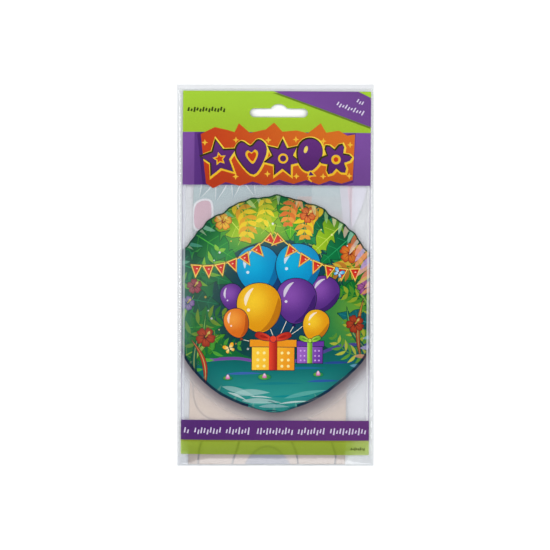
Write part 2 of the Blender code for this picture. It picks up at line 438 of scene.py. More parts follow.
def bundle_roof(x, y):
    """The folded balloon's top: the bundle's thickness times the swell, above the back film."""
    return FILM + GAP + BUNDLE * swell(x, y)


def sheet_back(x, y):
    """The insert's underside, a gap above the folded balloon."""
    return bundle_roof(x, y) + GAP


def sheet_front(x, y):
    """The insert's printed face."""
    return sheet_back(x, y) + SHEET


def crease(x, y, start, stop, width, depth):
    """A crease from start to stop: a bell across it, and a sine along it."""
    start, run = np.array(start, float), np.subtract(stop, start)
    length = np.linalg.norm(run)
    run = run / length
    along = (x - start[0]) * run[0] + (y - start[1]) * run[1]
    across = (y - start[1]) * run[0] - (x - start[0]) * run[1]
    share = np.clip(along / length, 0, 1)
    return depth * np.exp(-((across / width) ** 2)) * np.sin(np.pi * share)


FILM_CREASES = [
    ((-66, 120), (-20, 60), 2.6, -0.13),
    ((-60, 128), (12, 108), 2.0, 0.07),
    ((66, 122), (24, 78), 3.0, -0.12),
    ((60, 40), (69, -60), 2.2, -0.12),
    ((-67, 70), (-61, -30), 1.8, -0.13),
    ((-64, -40), (-52, -128), 2.4, -0.11),
    ((-66, -128), (-28, -92), 2.6, -0.12),
    ((66, -130), (36, -84), 2.8, -0.13),
    ((-40, 96), (46, 84), 3.4, 0.07),
    ((-44, 30), (40, 52), 4.5, 0.06),
    ((-36, -60), (44, -74), 4.0, 0.06),
    ((-12, 12), (52, -26), 3.6, -0.08),
    ((-50, 2), (-10, -34), 3.2, 0.06),
    ((0, -96), (52, -112), 2.2, -0.1),
    ((40, 126), (62, 84), 2.0, 0.07),
]
SEAM_PUCKER, PUCKER_PITCH, PUCKER_REACH = 0.07, 9.0, 5.0
RIPPLE_LOW, RIPPLE_HIGH = -0.2, 0.09


def film_ripple(x, y):
    """The front film's own relief: its creases, and puckers beside the welds. A sine of the
    place along the weld makes those, a slower sine shifts their beat, and a falling
    exponential of the distance from the weld ends them."""
    relief = sum(crease(x, y, *each) for each in FILM_CREASES)
    near_side = np.minimum(x - seam_left, seam_right - x)
    near_end = np.minimum(y - seam_foot, seam_top - y)
    beat = 2 * np.pi / PUCKER_PITCH
    relief = relief + SEAM_PUCKER * np.sin(beat * y + 2.2 * np.sin(y / 23)) * np.exp(
        -np.clip(near_side, 0, None) / PUCKER_REACH)
    relief = relief + SEAM_PUCKER * np.sin(beat * x + 1.7 * np.sin(x / 19)) * np.exp(
        -np.clip(near_end, 0, None) / PUCKER_REACH)
    return np.clip(relief, RIPPLE_LOW, RIPPLE_HIGH)


def film_inner(x, y):
    """The front film's inner face: just off the back film at the seams, and a gap above the
    insert, less or more its ripple, inside them."""
    at_seam = FILM + SEAM_PARTING
    lift = from_seams(x, y, *[EDGE_REACH] * 4)
    return at_seam + (sheet_front(x, y) + GAP + film_ripple(x, y) - at_seam) * lift


# Meshes from plans

CRISP = math.radians(50)


def lifted(places, height):
    """The plan's places, each at its height."""
    return np.column_stack([places, np.broadcast_to(height, len(places))]) * MM


def walls(edges, above, below):
    """Two triangles for each free edge, from the upper sheet's number to the lower one's."""
    a, b = edges[:, 0], edges[:, 1]
    return np.vstack([
        np.stack([a + above, below[a], below[b]], 1),
        np.stack([a + above, below[b], b + above], 1),
    ])


def piece(name, points, faces, material):
    """A mesh object at the origin, smooth except at edges sharper than CRISP."""
    mesh = bpy.data.meshes.new(name)
    mesh.vertices.add(len(points))
    mesh.vertices.foreach_set("co", np.asarray(points, np.float32).ravel())
    mesh.loops.add(len(faces) * 3)
    mesh.loops.foreach_set("vertex_index", np.asarray(faces, np.int32).ravel())
    mesh.polygons.add(len(faces))
    mesh.polygons.foreach_set("loop_start", np.arange(0, len(faces) * 3, 3, dtype=np.int32))
    mesh.update(calc_edges=True)
    mesh.validate()
    mesh.shade_smooth()
    mesh.set_sharp_from_angle(angle=CRISP)
    mesh.materials.append(material)
    made = bpy.data.objects.new(name, mesh)
    bpy.context.scene.collection.objects.link(made)
    return made


def sheet(top_plan, foot_plan, roof, floor, front, back, side):
    """A closed thin sheet: one plan at the roof's height, one turned over at the floor's, and
    walls between the two along their free edges, which run through the same places. Each rim
    point finds its nearest one below, in eight parts to spare memory. front, back and side
    are the print on each."""
    places, triangles = top_plan
    under, under_triangles = foot_plan
    points = np.vstack([lifted(places, roof(*places.T)), lifted(under, floor(*under.T))])
    edges = free_edges(triangles)
    rim = np.unique(edges)
    matching = np.zeros(len(places), int)
    for part in np.array_split(rim, 8):
        apart = np.linalg.norm(places[part][:, None] - under[None], axis=2)
        matching[part] = apart.argmin(1)
    wall = walls(edges, 0, matching + len(places))
    faces = [triangles, under_triangles[:, ::-1] + len(places), wall]
    shown = [np.broadcast_to(ink, (len(some), 3, 4))
             for some, ink in zip(faces, (front, back, side))]
    return points, np.vstack(faces), np.vstack(shown)


def stacked(name, sheets, material):
    """One object of several closed sheets, with their print as a corner colour."""
    points, faces, shown, first = [], [], [], 0
    for some_points, some_faces, some_shown in sheets:
        points.append(some_points)
        faces.append(some_faces + first)
        shown.append(some_shown)
        first += len(some_points)
    made = piece(name, np.vstack(points), np.vstack(faces), material)
    attribute = made.data.color_attributes.new("print", "FLOAT_COLOR", "CORNER")
    attribute.data.foreach_set("color", np.vstack(shown).astype(np.float32).ravel())
    return made


# Materials

def node(tree, kind, settings=(), **links):
    """Adds a node. settings names its properties or inputs with their values, and links names
    the inputs that take another node's output, the first one where just the node is given."""
    made = tree.nodes.new(kind)
    for name, value in dict(settings).items():
        if isinstance(name, int) or name in made.inputs:
            made.inputs[name].default_value = value
        else:
            setattr(made, name, value)
    for name, source in links.items():
        key = int(name[1:]) if name[0] == "_" else name.replace("_", " ")
        tree.links.new(getattr(source, "outputs", [source])[0], made.inputs[key])
    return made


def new_material(name):
    """An empty material and its node tree."""
    material = bpy.data.materials.new(name)
    material.use_nodes = True
    material.node_tree.nodes.clear()
    return material, material.node_tree


def finish_with(tree, shader):
    """Ends a material's tree with its surface."""
    node(tree, "ShaderNodeOutputMaterial", Surface=shader)


def glance(tree, straight_on):
    """Reflection by Schlick's formula: its share straight on, and the fifth power of the
    glance, which Layer Weight's Facing gives the same from both sides of a thin sheet."""
    facing = node(tree, "ShaderNodeLayerWeight", {"Blend": 0.5}).outputs["Facing"]
    fifth = node(tree, "ShaderNodeMath", {"operation": "POWER", 1: 5.0}, _0=facing)
    settings = {"From Min": 0.0, "From Max": 1.0, "To Min": straight_on, "To Max": 0.9}
    return node(tree, "ShaderNodeMapRange", settings, Value=fifth)


FILM_TINT = (0.962, 0.966, 0.969, 1.0)
WELD_TINT = (0.93, 0.935, 0.945, 1.0)
FILM_HAZE = 0.0015
FILM_SHINE = 0.028


def cast_film():
    """Cast polypropylene film, 80 microns: clear with a cool cast, glossy, with a faint haze,
    and milkier where the two walls are welded together."""
    material, tree = new_material("cast_polypropylene_film")
    weld = node(tree, "ShaderNodeAttribute", {"attribute_name": "weld"}).outputs["Fac"]
    tint = node(tree, "ShaderNodeMix", {"data_type": "RGBA", 6: FILM_TINT, 7: WELD_TINT},
                _0=weld)
    clear = node(tree, "ShaderNodeBsdfTransparent", Color=tint.outputs[2])
    haze = node(tree, "ShaderNodeBsdfDiffuse", {"Color": (0.9, 0.91, 0.94, 1)})
    hazy = node(tree, "ShaderNodeMixShader", {0: FILM_HAZE}, _1=clear, _2=haze)
    gloss = node(tree, "ShaderNodeBsdfGlossy", {"Roughness": 0.09, "Color": (1, 1, 1, 1)})
    skin = node(tree, "ShaderNodeMixShader", _0=glance(tree, FILM_SHINE), _1=hazy, _2=gloss)
    finish_with(tree, skin)
    return material


def printed_sheet():
    """Translucent polypropylene sheet, offset printed: milky where bare, and under the ink
    still faintly see-through. The ink's density wavers a little, as solid print does."""
    material, tree = new_material("printed_polypropylene_sheet")
    shown = node(tree, "ShaderNodeAttribute", {"attribute_name": "print"})
    place = node(tree, "ShaderNodeTexCoord").outputs["Object"]
    grain = node(tree, "ShaderNodeTexNoise", {"Scale": 900.0, "Detail": 2.0}, Vector=place)
    density = node(tree, "ShaderNodeMapRange", {"To Min": 0.94, "To Max": 1.06},
                   Value=grain.outputs["Fac"])
    inked = node(tree, "ShaderNodeMix", {"data_type": "RGBA", "blend_type": "MULTIPLY", 0: 1.0},
                 _6=shown.outputs["Color"], _7=density)
    sheet = node(tree, "ShaderNodeBsdfPrincipled", {"Roughness": 0.2, "Specular IOR Level": 0.3},
                 Base_Color=inked.outputs[2])
    filtered = node(tree, "ShaderNodeMix", {"data_type": "RGBA", 6: (1, 1, 1, 1)},
                    _0=shown.outputs["Alpha"], _7=inked.outputs[2])
    clear = node(tree, "ShaderNodeBsdfTransparent", Color=filtered.outputs[2])
    both = node(tree, "ShaderNodeMixShader", _0=shown.outputs["Alpha"], _1=clear, _2=sheet)
    finish_with(tree, both)
    return material


def metallised_film():
    """Metallised nylon film: bright silver where bare, duller under the print's white ground,
    crinkled where it was folded. The print's fourth number is how bare it is."""
    material, tree = new_material("printed_metallised_film")
    shown = node(tree, "ShaderNodeAttribute", {"attribute_name": "print"})
    place = node(tree, "ShaderNodeTexCoord").outputs["Object"]
    crinkle = node(tree, "ShaderNodeTexNoise", {"Scale": 160.0, "Detail": 3.0}, Vector=place)
    bump = node(tree, "ShaderNodeBump", {"Strength": 0.25, "Distance": 0.0006},
                Height=crinkle.outputs["Fac"])
    foil = node(tree, "ShaderNodeBsdfPrincipled", {"Roughness": 0.34},
                Base_Color=shown.outputs["Color"], Metallic=shown.outputs["Alpha"], Normal=bump)
    finish_with(tree, foil)
    return material


def studio_floor():
    """A white painted board: matt, with the faintest roller texture."""
    material, tree = new_material("white_painted_board")
    place = node(tree, "ShaderNodeTexCoord").outputs["Object"]
    roller = node(tree, "ShaderNodeTexNoise", {"Scale": 300.0, "Detail": 2.0}, Vector=place)
    tone = node(tree, "ShaderNodeMapRange", {"To Min": 0.93, "To Max": 0.95},
                Value=roller.outputs["Fac"])
    board = node(tree, "ShaderNodeBsdfDiffuse", Color=tone)
    finish_with(tree, board)
    return material


# The insert's artwork, drawn in the insert's own plane

OUTLINE = "#14213a"
LOBES, PETALS = 4, 5
RIM_PUCKERS = 64


def edged(outline, tone, line, edge=OUTLINE, **more):
    """A filled shape with a dark line round it."""
    outline = wound(outline)
    return [Ink(grown(outline, line), edge), Ink(outline, tone, **more)]


def strokes(start, heading, widths, tall, tone, thick, seed):
    """A row of single short ticks. Each one's lean, foot and height wander by sines of its
    number, and a negative width leaves a gap."""
    inks = []
    across = np.array([math.cos(heading), math.sin(heading)])
    up = np.array([-across[1], across[0]])
    place = np.array(start, float)
    for number, width in enumerate(widths):
        if width > 0:
            wander, second = math.sin(seed + 2.4 * number), math.sin(seed + 4.1 * number)
            foot = place + up * tall * (0.14 + 0.14 * wander)
            head = place + up * tall * (0.82 + 0.18 * second) + across * 0.3 * width
            inks.append(Ink(ribbon([foot, head], [thick, 0.8 * thick]), tone, share=0.9))
        place = place + across * abs(width)
    return inks


def at_share(line, shares, spot):
    """The point of a line at a share of its run, straight between its two nearest points."""
    return np.array([np.interp(spot, shares, line[:, k]) for k in (0, 1)])


def frond(base, tip, bend, pairs, length, width, tones):
    """A palm or fern frond: pairs of blades along a bowed rib, longest before the middle."""
    base, tip = np.asarray(base, float), np.asarray(tip, float)
    share = np.linspace(0, 1, 12)
    along = tip - base
    side = np.array([-along[1], along[0]]) / np.linalg.norm(along)
    rib = base + along * share[:, None] + side * bend * np.sin(np.pi * share)[:, None]
    squares = sideways(rib)
    inks = [Ink(ribbon(rib, 0.9 - 0.6 * share), tones[1])]
    for number in range(pairs):
        spot = (number + 0.7) / (pairs + 0.3)
        root, square = at_share(rib, share, spot), at_share(squares, share, spot)
        ahead = np.array([square[1], -square[0]])
        reach = length * math.sin(math.pi * (0.18 + 0.74 * spot)) ** 0.8
        for hand in (1, -1):
            point = root + (square * hand * 0.8 + ahead * 0.62) * reach
            inks.append(Ink(blade(root, point, width, 0.06 * reach * hand), tones[number % 2]))
    return inks


def broad_leaf(base, tip, wide, tones):
    """A broad leaf cut into lobes: a sine's width that narrow bells notch on both sides."""
    base, tip = np.asarray(base, float), np.asarray(tip, float)
    share = np.linspace(0, 1, 12 * LOBES)
    notch = np.exp(-((((share * (LOBES + 0.5)) % 1) - 0.5) / 0.13) ** 2) * (share > 0.08)
    half = wide * np.sin(np.pi * share**0.72) * (1 - 0.62 * notch * (share < 0.9))
    run = tip - base
    side = np.array([-run[1], run[0]]) / np.linalg.norm(run)
    swept = base + run * (share - 0.10 * half / wide)[:, None]
    outline = np.vstack([swept + side * half[:, None], (swept - side * half[:, None])[::-1]])
    inks = edged(outline, tones[0], 0.35, "#06352c", fade=tones[1], axis=(base, tip))
    rib = base + run * np.linspace(0.02, 0.94, 6)[:, None]
    inks.append(Ink(ribbon(rib, np.linspace(0.9, 0.2, 6)), tones[2]))
    for number in range(1, LOBES + 1):
        root = base + run * (number - 0.35) / (LOBES + 0.8)
        for hand in (1, -1):
            point = root + (side * hand * wide * 0.62 + run / np.linalg.norm(run) * wide * 0.3)
            inks.append(Ink(ribbon([root, point], 0.3), tones[2], share=0.7))
    return inks


def flower(centre, radius, tones, turn):
    """An open flower: round petals about a dark throat, with a pollen stalk and its dots."""
    centre = np.asarray(centre, float)
    petal = blob([(0, 0), (0.45, -0.34), (0.86, -0.36), (1.0, -0.1), (0.93, 0.08), (1.0, 0.26),
                  (0.8, 0.4), (0.4, 0.3)], 4)
    inks = []
    for number in range(PETALS):
        angle = turn + number * 2 * math.pi / PETALS
        outwards = np.array([math.cos(angle), math.sin(angle)])
        inks += edged(moved(petal, centre, angle, radius), tones[0], 0.3, tones[2],
                      fade=tones[1], glow=(centre + 0.5 * radius * outwards, radius * 0.62))
        vein = [centre, centre + 0.7 * radius * outwards]
        inks.append(Ink(ribbon(vein, [0.9, 0.15]), tones[2], share=0.7))
    inks.append(Ink(oval(centre, radius * 0.2), tones[2]))
    stalk = centre + radius * np.array([[0, 0], [0.22, 0.26], [0.34, 0.5]])
    inks.append(Ink(ribbon(stalk, 0.7), "#f6d24a"))
    for dot in ((0.34, 0.5), (0.26, 0.42), (0.4, 0.4), (0.42, 0.55)):
        inks.append(Ink(oval(centre + radius * np.array(dot), 0.55, sides=8), "#ffe878"))
    return inks


def party_balloon(centre, wide, tall, tones, turn, string):
    """A party balloon: an egg outline with a knot, lit from the upper left, on a string that
    runs through the given points."""
    centre = np.asarray(centre, float)
    angle = all_round(40)
    taper = 1 - 0.14 * np.sin(-angle) - 0.04 * np.sin(-angle) ** 3
    egg = np.stack([wide * np.cos(angle) * taper, tall * np.sin(angle)], 1)
    knot = np.array([(-1.1, -tall - 1.9), (1.1, -tall - 1.9), (0.35, -tall + 0.5),
                     (-0.35, -tall + 0.5)])
    inks = [Ink(ribbon(through(string), 0.42), "#f2ead2")]
    inks += edged(moved(knot, centre, turn), tones[2], 0.35)
    inks += edged(moved(egg, centre, turn), tones[0], 0.5, fade=tones[1],
                  glow=(centre + (-wide * 0.3, tall * 0.3), wide * 1.25))
    shade = blob([(0.92, 0.35), (0.98, -0.1), (0.78, -0.58), (0.42, -0.86), (0.0, -0.95),
                  (0.38, -0.62), (0.66, -0.2)], 5) * (wide, tall)
    gleam = blob([(-0.62, 0.12), (-0.66, 0.42), (-0.46, 0.7), (-0.2, 0.82), (-0.36, 0.6),
                  (-0.5, 0.34)], 5) * (wide, tall)
    spark = oval((-0.5 * wide, -0.06 * tall), 0.07 * wide)
    marks = [(shade, tones[2], 0.62), (gleam, "#ffffff", 0.6), (spark, "#ffffff", 0.7)]
    return inks + [Ink(moved(mark, centre, turn), tone, share=share)
                   for mark, tone, share in marks]


def gift(centre, wide, tall, tones):
    """A present: a box front and a lid with a ribbon band each, and a bow of two loops. The
    tones are the box's two, the ribbon's two and its dots'."""
    x, y = centre
    body = box(x - wide, y - tall, x + wide, y + 0.55 * tall)
    lid = box(x - wide * 1.1, y + 0.5 * tall, x + wide * 1.1, y + 0.95 * tall)
    inks = edged(body, tones[0], 0.45, fade=tones[1], axis=((x - wide, y), (x + wide, y - tall)))
    for column in (-0.72, -0.42, 0.42, 0.72):
        for row in (0.75, 0.35, -0.1):
            dot = oval((x + column * wide, y - tall * row), wide * 0.07, sides=10)
            inks.append(Ink(dot, tones[4]))
    inks += edged(lid, tones[1], 0.45)
    for part in (body, lid):
        low, high = part.min(0), part.max(0)
        inks.append(Ink(box(x - wide * 0.2, low[1], x + wide * 0.2, high[1]), tones[2],
                        fade=tones[3], axis=((x - wide * 0.2, y), (x + wide * 0.2, y))))
    loop = blob([(0, 0), (0.3, 0.34), (0.72, 0.5), (0.86, 0.24), (0.6, 0.02), (0.26, -0.06)], 5)
    fold = blob([(0.22, 0.1), (0.48, 0.3), (0.64, 0.26), (0.5, 0.12)], 4)
    for hand in (1, -1):
        size, top = (hand * wide, tall), (x, y + tall * 0.95)
        inks += edged(moved(loop * size, top), tones[2], 0.4, fade=tones[3],
                      axis=((x, y), (x + hand * wide, y)))
        inks.append(Ink(moved(fold * size, top), tones[3]))
    inks += edged(oval((x, y + tall), wide * 0.15, sides=12), tones[2], 0.35)
    return inks


def bunting(posts, sag, pennants, wide, tall):
    """Red pennants with yellow edges on cords that hang in parabolas between the posts."""
    inks = []
    share = np.linspace(0, 1, 60)
    for first, last in zip(posts[:-1], posts[1:]):
        span = last - first
        cord = first + span * share[:, None]
        cord[:, 1] -= 4 * sag * share * (1 - share)
        inks.append(Ink(ribbon(cord[::4], 0.7), "#f7d65a"))
        for spot in (np.arange(pennants) + 0.5) / pennants:
            root = at_share(cord, share, spot)
            fall = math.atan(4 * sag * (1 - 2 * spot) / np.linalg.norm(span))
            lean = math.atan2(span[1], span[0]) - fall
            flag = wound(moved([(-wide / 2, 0.2), (0, -tall), (wide / 2, 0.2)], root, lean))
            gleam = oval(root + (0.4, -0.26 * tall), 0.7, 0.45, lean, 10)
            inks += [
                Ink(grown(flag, 1.15), "#7a1f1a", share=0.75), Ink(grown(flag, 0.75), "#f8d95c"),
                Ink(flag, "#e8452c", fade="#c22018", axis=(flag.min(0), flag.max(0))),
                Ink(gleam, "#ffd9b8", share=0.85),
            ]
    return inks


def butterfly(centre, size, turn, tones):
    """A small butterfly: two pairs of round wings and a dark body."""
    inks = []
    upper = [(0, 0.1), (0.5, 0.8), (1.0, 0.75), (0.9, 0.25), (0.4, 0.0)]
    lower = [(0, 0.0), (0.5, -0.05), (0.8, -0.4), (0.5, -0.7), (0.2, -0.4)]
    for hand in (1, -1):
        for wing in (upper, lower):
            outline = moved(blob(np.array(wing) * (hand, 1), 4), centre, turn, size)
            inks += edged(outline, tones[0], 0.3, fade=tones[1], glow=(centre, size))
    inks.append(Ink(moved(oval((0, 0), 0.1, 0.5, sides=10), centre, turn, size), OUTLINE))
    return inks


def rim_reach(turns):
    """How far the picture's rim is from its middle: a circle pulled in by bells on the right,
    with a blunt point at the foot where the neck is tucked away."""
    bells = [(4.71, 0.13, 1.9), (5.38, 0.42, -3.4), (0.87, 0.35, -1.6), (1.7, 0.25, 1.1)]
    return DISC_RADIUS + sum(
        by * np.exp(-(((turns - place) / wide) ** 2)) for place, wide, by in bells)


def disc_outline():
    """The picture's rim, with small puckers over its upper half that three sines make."""
    turns = all_round(240)
    upper = smooth(np.sin(turns), -0.35, 0.3)
    pucker = 0.55 * np.sin(17 * turns + 0.6) + 0.4 * np.sin(29 * turns) + 0.3 * np.sin(53 * turns)
    return polar(turns, rim_reach(turns) + pucker * (0.12 + 0.88 * upper), DISC)


def from_disc(points):
    """From places round the picture's middle to the insert's plane."""
    return np.asarray(points, float) + DISC


def disc_art(rim):
    """The round picture: leaves round a clearing with party balloons, presents and bunting,
    over a teal lagoon. All of it stops at the rim."""
    at = from_disc
    patches = [
        ([(-62, 30), (-30, 70), (6, 78), (26, 72), (14, 40), (-20, 34), (-44, 20)],
         "#9cc424", "#2f9a34", (-12, 66), 40.0, 1.0),
        ([(20, 78), (58, 60), (74, 20), (52, 14), (34, 36), (22, 50)],
         "#2fae48", "#0f7f52", (48, 44), 34.0, 1.0),
        ([(-76, 20), (-46, 26), (-38, -6), (-52, -40), (-74, -36)],
         "#1c9a3e", "#0b6a4a", (-64, 0), 34.0, 1.0),
        ([(-40, 26), (-10, 44), (30, 40), (48, 12), (46, -26), (16, -40), (-24, -36), (-44, -10)],
         "#1b3f9a", "#0b4a55", (4, 6), 46.0, 0.92),
        ([(30, -2), (52, 4), (78, -4), (78, -34), (44, -34), (26, -20)],
         "#86cc3a", "#2a9a54", (62, -6), 34.0, 1.0),
    ]
    inks = [Ink(rim, "#0a5a3c", fade="#0f8a3e", glow=(at((0, 0)), 78.0))]
    inks += [Ink(at(blob(points)), tone, fade=fade, glow=(at(middle), reach), share=share)
             for points, tone, fade, middle, reach, share in patches]
    inks += lagoon() + foliage()
    inks.append(Ink(rim, "#04301c", share=lambda p: 0.42 * smooth(DISC[1] + 50 - p[..., 1], 0, 36)
                    * smooth(p[..., 1] - DISC[1], -50, -30)))
    inks += party() + foil_shine(rim)
    for ink in inks:
        ink.within = rim
    return inks


def lagoon():
    """Teal water with a lilac bank, and lens-shaped streaks of deeper blue and pale light."""
    at = from_disc
    water = at(blob([(-58, -46), (-30, -40), (0, -44), (26, -38), (50, -30), (78, -34),
                     (70, -70), (0, -84), (-50, -70)]))
    inks = [
        Ink(grown(water, 2.2), "#8a4fb0", fade="#5a4fb4", axis=(at((-60, -40)), at((60, -30)))),
        Ink(water, "#05706e", fade="#35a89e", axis=(at((0, -42)), at((0, -78)))),
    ]
    streaks = [
        (-22, -50, 13, "#3b63b0"), (20, -46, 16, "#1b6f9c"), (44, -42, 12, "#274c9c"),
        (2, -57, 18, "#0f7f86"), (34, -55, 12, "#2a5aa6"), (-30, -60, 10, "#0d8a80"),
        (12, -66, 15, "#0e8f92"), (-10, -71, 9, "#5fc4b8"), (40, -62, 7, "#1c7fae"),
    ]
    inks += [Ink(at(blade((x - reach, y), (x + reach, y + 0.6), 1.8, 0.3)), tone)
             for x, y, reach, tone in streaks]
    for x, y, size in ((-8, -52, 4.6), (30, -50, 3.6), (-34, -53, 3.4)):
        pad = at(oval((x, y), size, size * 0.42, sides=20))
        inks += edged(pad, "#6fb83c", 0.3, "#0a5a4c", fade="#2c8f48",
                      glow=(at((x - 1, y + 1)), size))
        bud = at(blob([(x - 1.4, y), (x, y + 2.6), (x + 1.4, y), (x, y - 0.6)], 4))
        inks += edged(bud, "#f4e6f2", 0.25, "#a04c8c", fade="#e07ab8",
                      glow=(at((x, y + 2)), 2.2))
    return inks


def foliage():
    """Leaves from the rim inwards: broad cut leaves, fronds, long blades and flowers."""
    at = from_disc
    inks = []
    greens = [
        ("#02602c", "#0c9a34", "#4fc83a"), ("#024832", "#058a48", "#2cb86c"),
        ("#5a9a10", "#aed21a", "#dff060"), ("#023e34", "#04704e", "#1ea870"),
        ("#067a28", "#54b81c", "#b0dc3c"), ("#044048", "#088290", "#30b0b4"),
    ]
    broad = [
        (158, 80, 34, 11.5, 1), (140, 78, 40, 12.5, 0), (66, 80, 42, 12.5, 1),
        (121, 80, 46, 12.0, 2), (100, 80, 48, 12.5, 2), (82, 80, 46, 10.5, 4),
        (50, 80, 40, 11.0, 2), (42, 80, 40, 10.0, 1), (24, 78, 38, 11.0, 4),
        (6, 76, 40, 10.5, 0), (176, 76, 40, 11.0, 3), (194, 76, 40, 10.5, 0),
        (210, 78, 42, 10.0, 4), (-12, 76, 44, 9.5, 5),
    ]
    for angle, far, near, wide, tint in broad:
        turn = math.radians(angle)
        aim = np.array([math.cos(turn), math.sin(turn)])
        lean = np.array([-aim[1], aim[0]]) * 6 * math.sin(angle * 0.3)
        inks += broad_leaf(at(aim * far), at(aim * near + lean), wide, greens[tint])
    fronds = [
        ((-66, -34), (-30, -8), 9, 10, 11.0, 2.8, ("#86ac2a", "#2c8a2c")),
        ((-60, -50), (-24, -30), 7, 9, 9.0, 2.4, ("#5fbf3c", "#17803c")),
        ((-70, 14), (-40, 40), -7, 9, 11.0, 2.8, ("#8fcf3a", "#1f8f48")),
        ((-32, 72), (-22, 44), 6, 8, 10.0, 3.4, ("#f2d01c", "#e8a81c")),
        ((-10, 76), (-12, 54), 3, 6, 8.0, 3.0, ("#f7dc2c", "#c8c81c")),
        ((16, 76), (8, 55), -3, 6, 8.0, 3.2, ("#f2a03c", "#e87a2c")),
        ((34, 70), (20, 46), -6, 8, 10.0, 3.4, ("#f2d01c", "#e8a42a")),
        ((62, 44), (36, 22), 7, 9, 10.5, 3.2, ("#f2c83c", "#dc8c2c")),
        ((70, -8), (44, 8), -5, 8, 9.0, 2.8, ("#b8d030", "#5fae2c")),
        ((72, -24), (50, -10), 5, 8, 8.0, 2.4, ("#d8dc3c", "#7cb82c")),
        ((68, -36), (40, -22), 6, 8, 8.5, 2.2, ("#d8e04c", "#6fb43a")),
    ]
    for base, tip, *rest in fronds:
        inks += frond(at(base), at(tip), *rest)
    blades = [
        ((-70, -44), (-58, 6), 4.2, 5, "#9ed44a", "#1f8f3a"),
        ((-66, -50), (-50, -8), 3.6, -4, "#3fae3a", "#0f6f3c"),
        ((-62, -54), (-40, -22), 3.0, 5, "#c8e04a", "#4fae34"),
        ((-56, -58), (-54, -20), 3.4, 3, "#12805a", "#0a4f44"),
        ((72, -30), (56, 12), 3.8, -5, "#7cc434", "#17803c"),
        ((66, -34), (50, -2), 3.0, 4, "#2fae6a", "#0b5a4c"),
        ((-50, -58), (-60, -26), 3.0, -4, "#e8452c", "#b03a24"),
        ((60, -38), (62, 4), 2.6, 3, "#f08a28", "#d0452a"),
    ]
    for base, tip, width, bend, first, last in blades:
        inks += edged(at(blade(base, tip, width, bend, 12)), first, 0.3, "#06352c", fade=last,
                      axis=(at(tip), at(base)))
        inks.append(Ink(at(blade(base, tip, width * 0.22, bend, 12)), "#e6f08a", share=0.55))
    blooms = [
        (-58, 12, 5.2, ("#d05a74", "#a81c44", "#5a0c2c"), 0.4),
        (-50, -24, 6.8, ("#e85028", "#b82018", "#64101a"), 1.0),
        (52, 36, 7.0, ("#f0902c", "#d8481c", "#8a2010"), 0.1),
        (56, -14, 6.2, ("#e84c20", "#b41c14", "#5c0c14"), 0.7),
        (-38, 58, 6.0, ("#ffd84a", "#f08a28", "#a84a18"), 0.2),
        (22, 63, 5.5, ("#f08a3c", "#d8501c", "#8a2410"), 0.9),
        (63, 12, 5.5, ("#e07ac8", "#a83ca0", "#5a1c68"), 0.5),
        (-63, 0, 5.0, ("#c89ae0", "#8a4fb0", "#3b1a78"), 0.0),
    ]
    for x, y, *rest in blooms:
        inks += flower(at((x, y)), *rest)
    for number in range(26):
        turn = 2.4 * number
        far = 30 + 40 * ((number * 0.618) % 1)
        spot = at(np.array([math.cos(turn), math.sin(turn) * 0.9 + 0.05]) * far)
        tone = ("#f4f0a0", "#ffffff", "#f7c84a")[number % 3]
        inks.append(Ink(oval(spot, 0.55 + 0.25 * (number % 2), sides=9), tone, share=0.85))
    return inks


def party():
    """The middle of the picture: presents, party balloons on strings, and bunting."""
    at = from_disc
    sky = ("#04b0dc", "#0290c6", "#04508c")
    violet = ("#8a4fae", "#5a2c86", "#240c54")
    gold = ("#f9cc2c", "#e59c0c", "#a85808")
    orange = ("#f5a03c", "#e07018", "#9c3a10")
    knot = (0, -28)
    cluster = [
        ((-31, 4), 8.0, 10.0, violet, 0.35), ((33, 7), 11, 13, violet, -0.34),
        ((-13, 24), 15, 17, sky, 0.12), ((15, 25), 15.5, 17.5, sky, -0.12),
        ((14, 2), 14, 16, violet, -0.08), ((-12, -3), 15.5, 17.5, gold, 0.08),
        ((-28, -14), 8.5, 10.5, orange, 0.3), ((28, -15), 9, 11, gold, -0.3),
    ]
    inks = []
    for place, wide, tall, tones, turn in cluster:
        foot = moved([(0, -tall - 1.5)], place, turn)[0]
        string = [foot, (foot + np.array(knot)) / 2 + (math.sin(place[0]) * 1.6, -1), knot]
        inks += party_balloon(at(place), wide, tall, tones, turn, at(string))
    small = ("#a468c8", "#6a34a0", "#b8e04a", "#5f9f2c", "#d8b0ec")
    large = ("#ffcf3c", "#f09a1c", "#e8452c", "#a82018", "#fff0a0")
    inks += gift(at((24, -34)), 9, 8, small) + gift(at((-2, -36)), 15, 11, large)
    inks += bunting([at((-61, 27)), at((-2, 51)), at((60, 25))], 9.0, 7, 6.0, 7.0)
    inks += butterfly(at((-33, -32)), 4.0, 0.4, ("#fff4b0", "#f2b010"))
    inks += butterfly(at((44, 22)), 3.6, -0.5, ("#e8f4ff", "#4fb4e8"))
    return inks


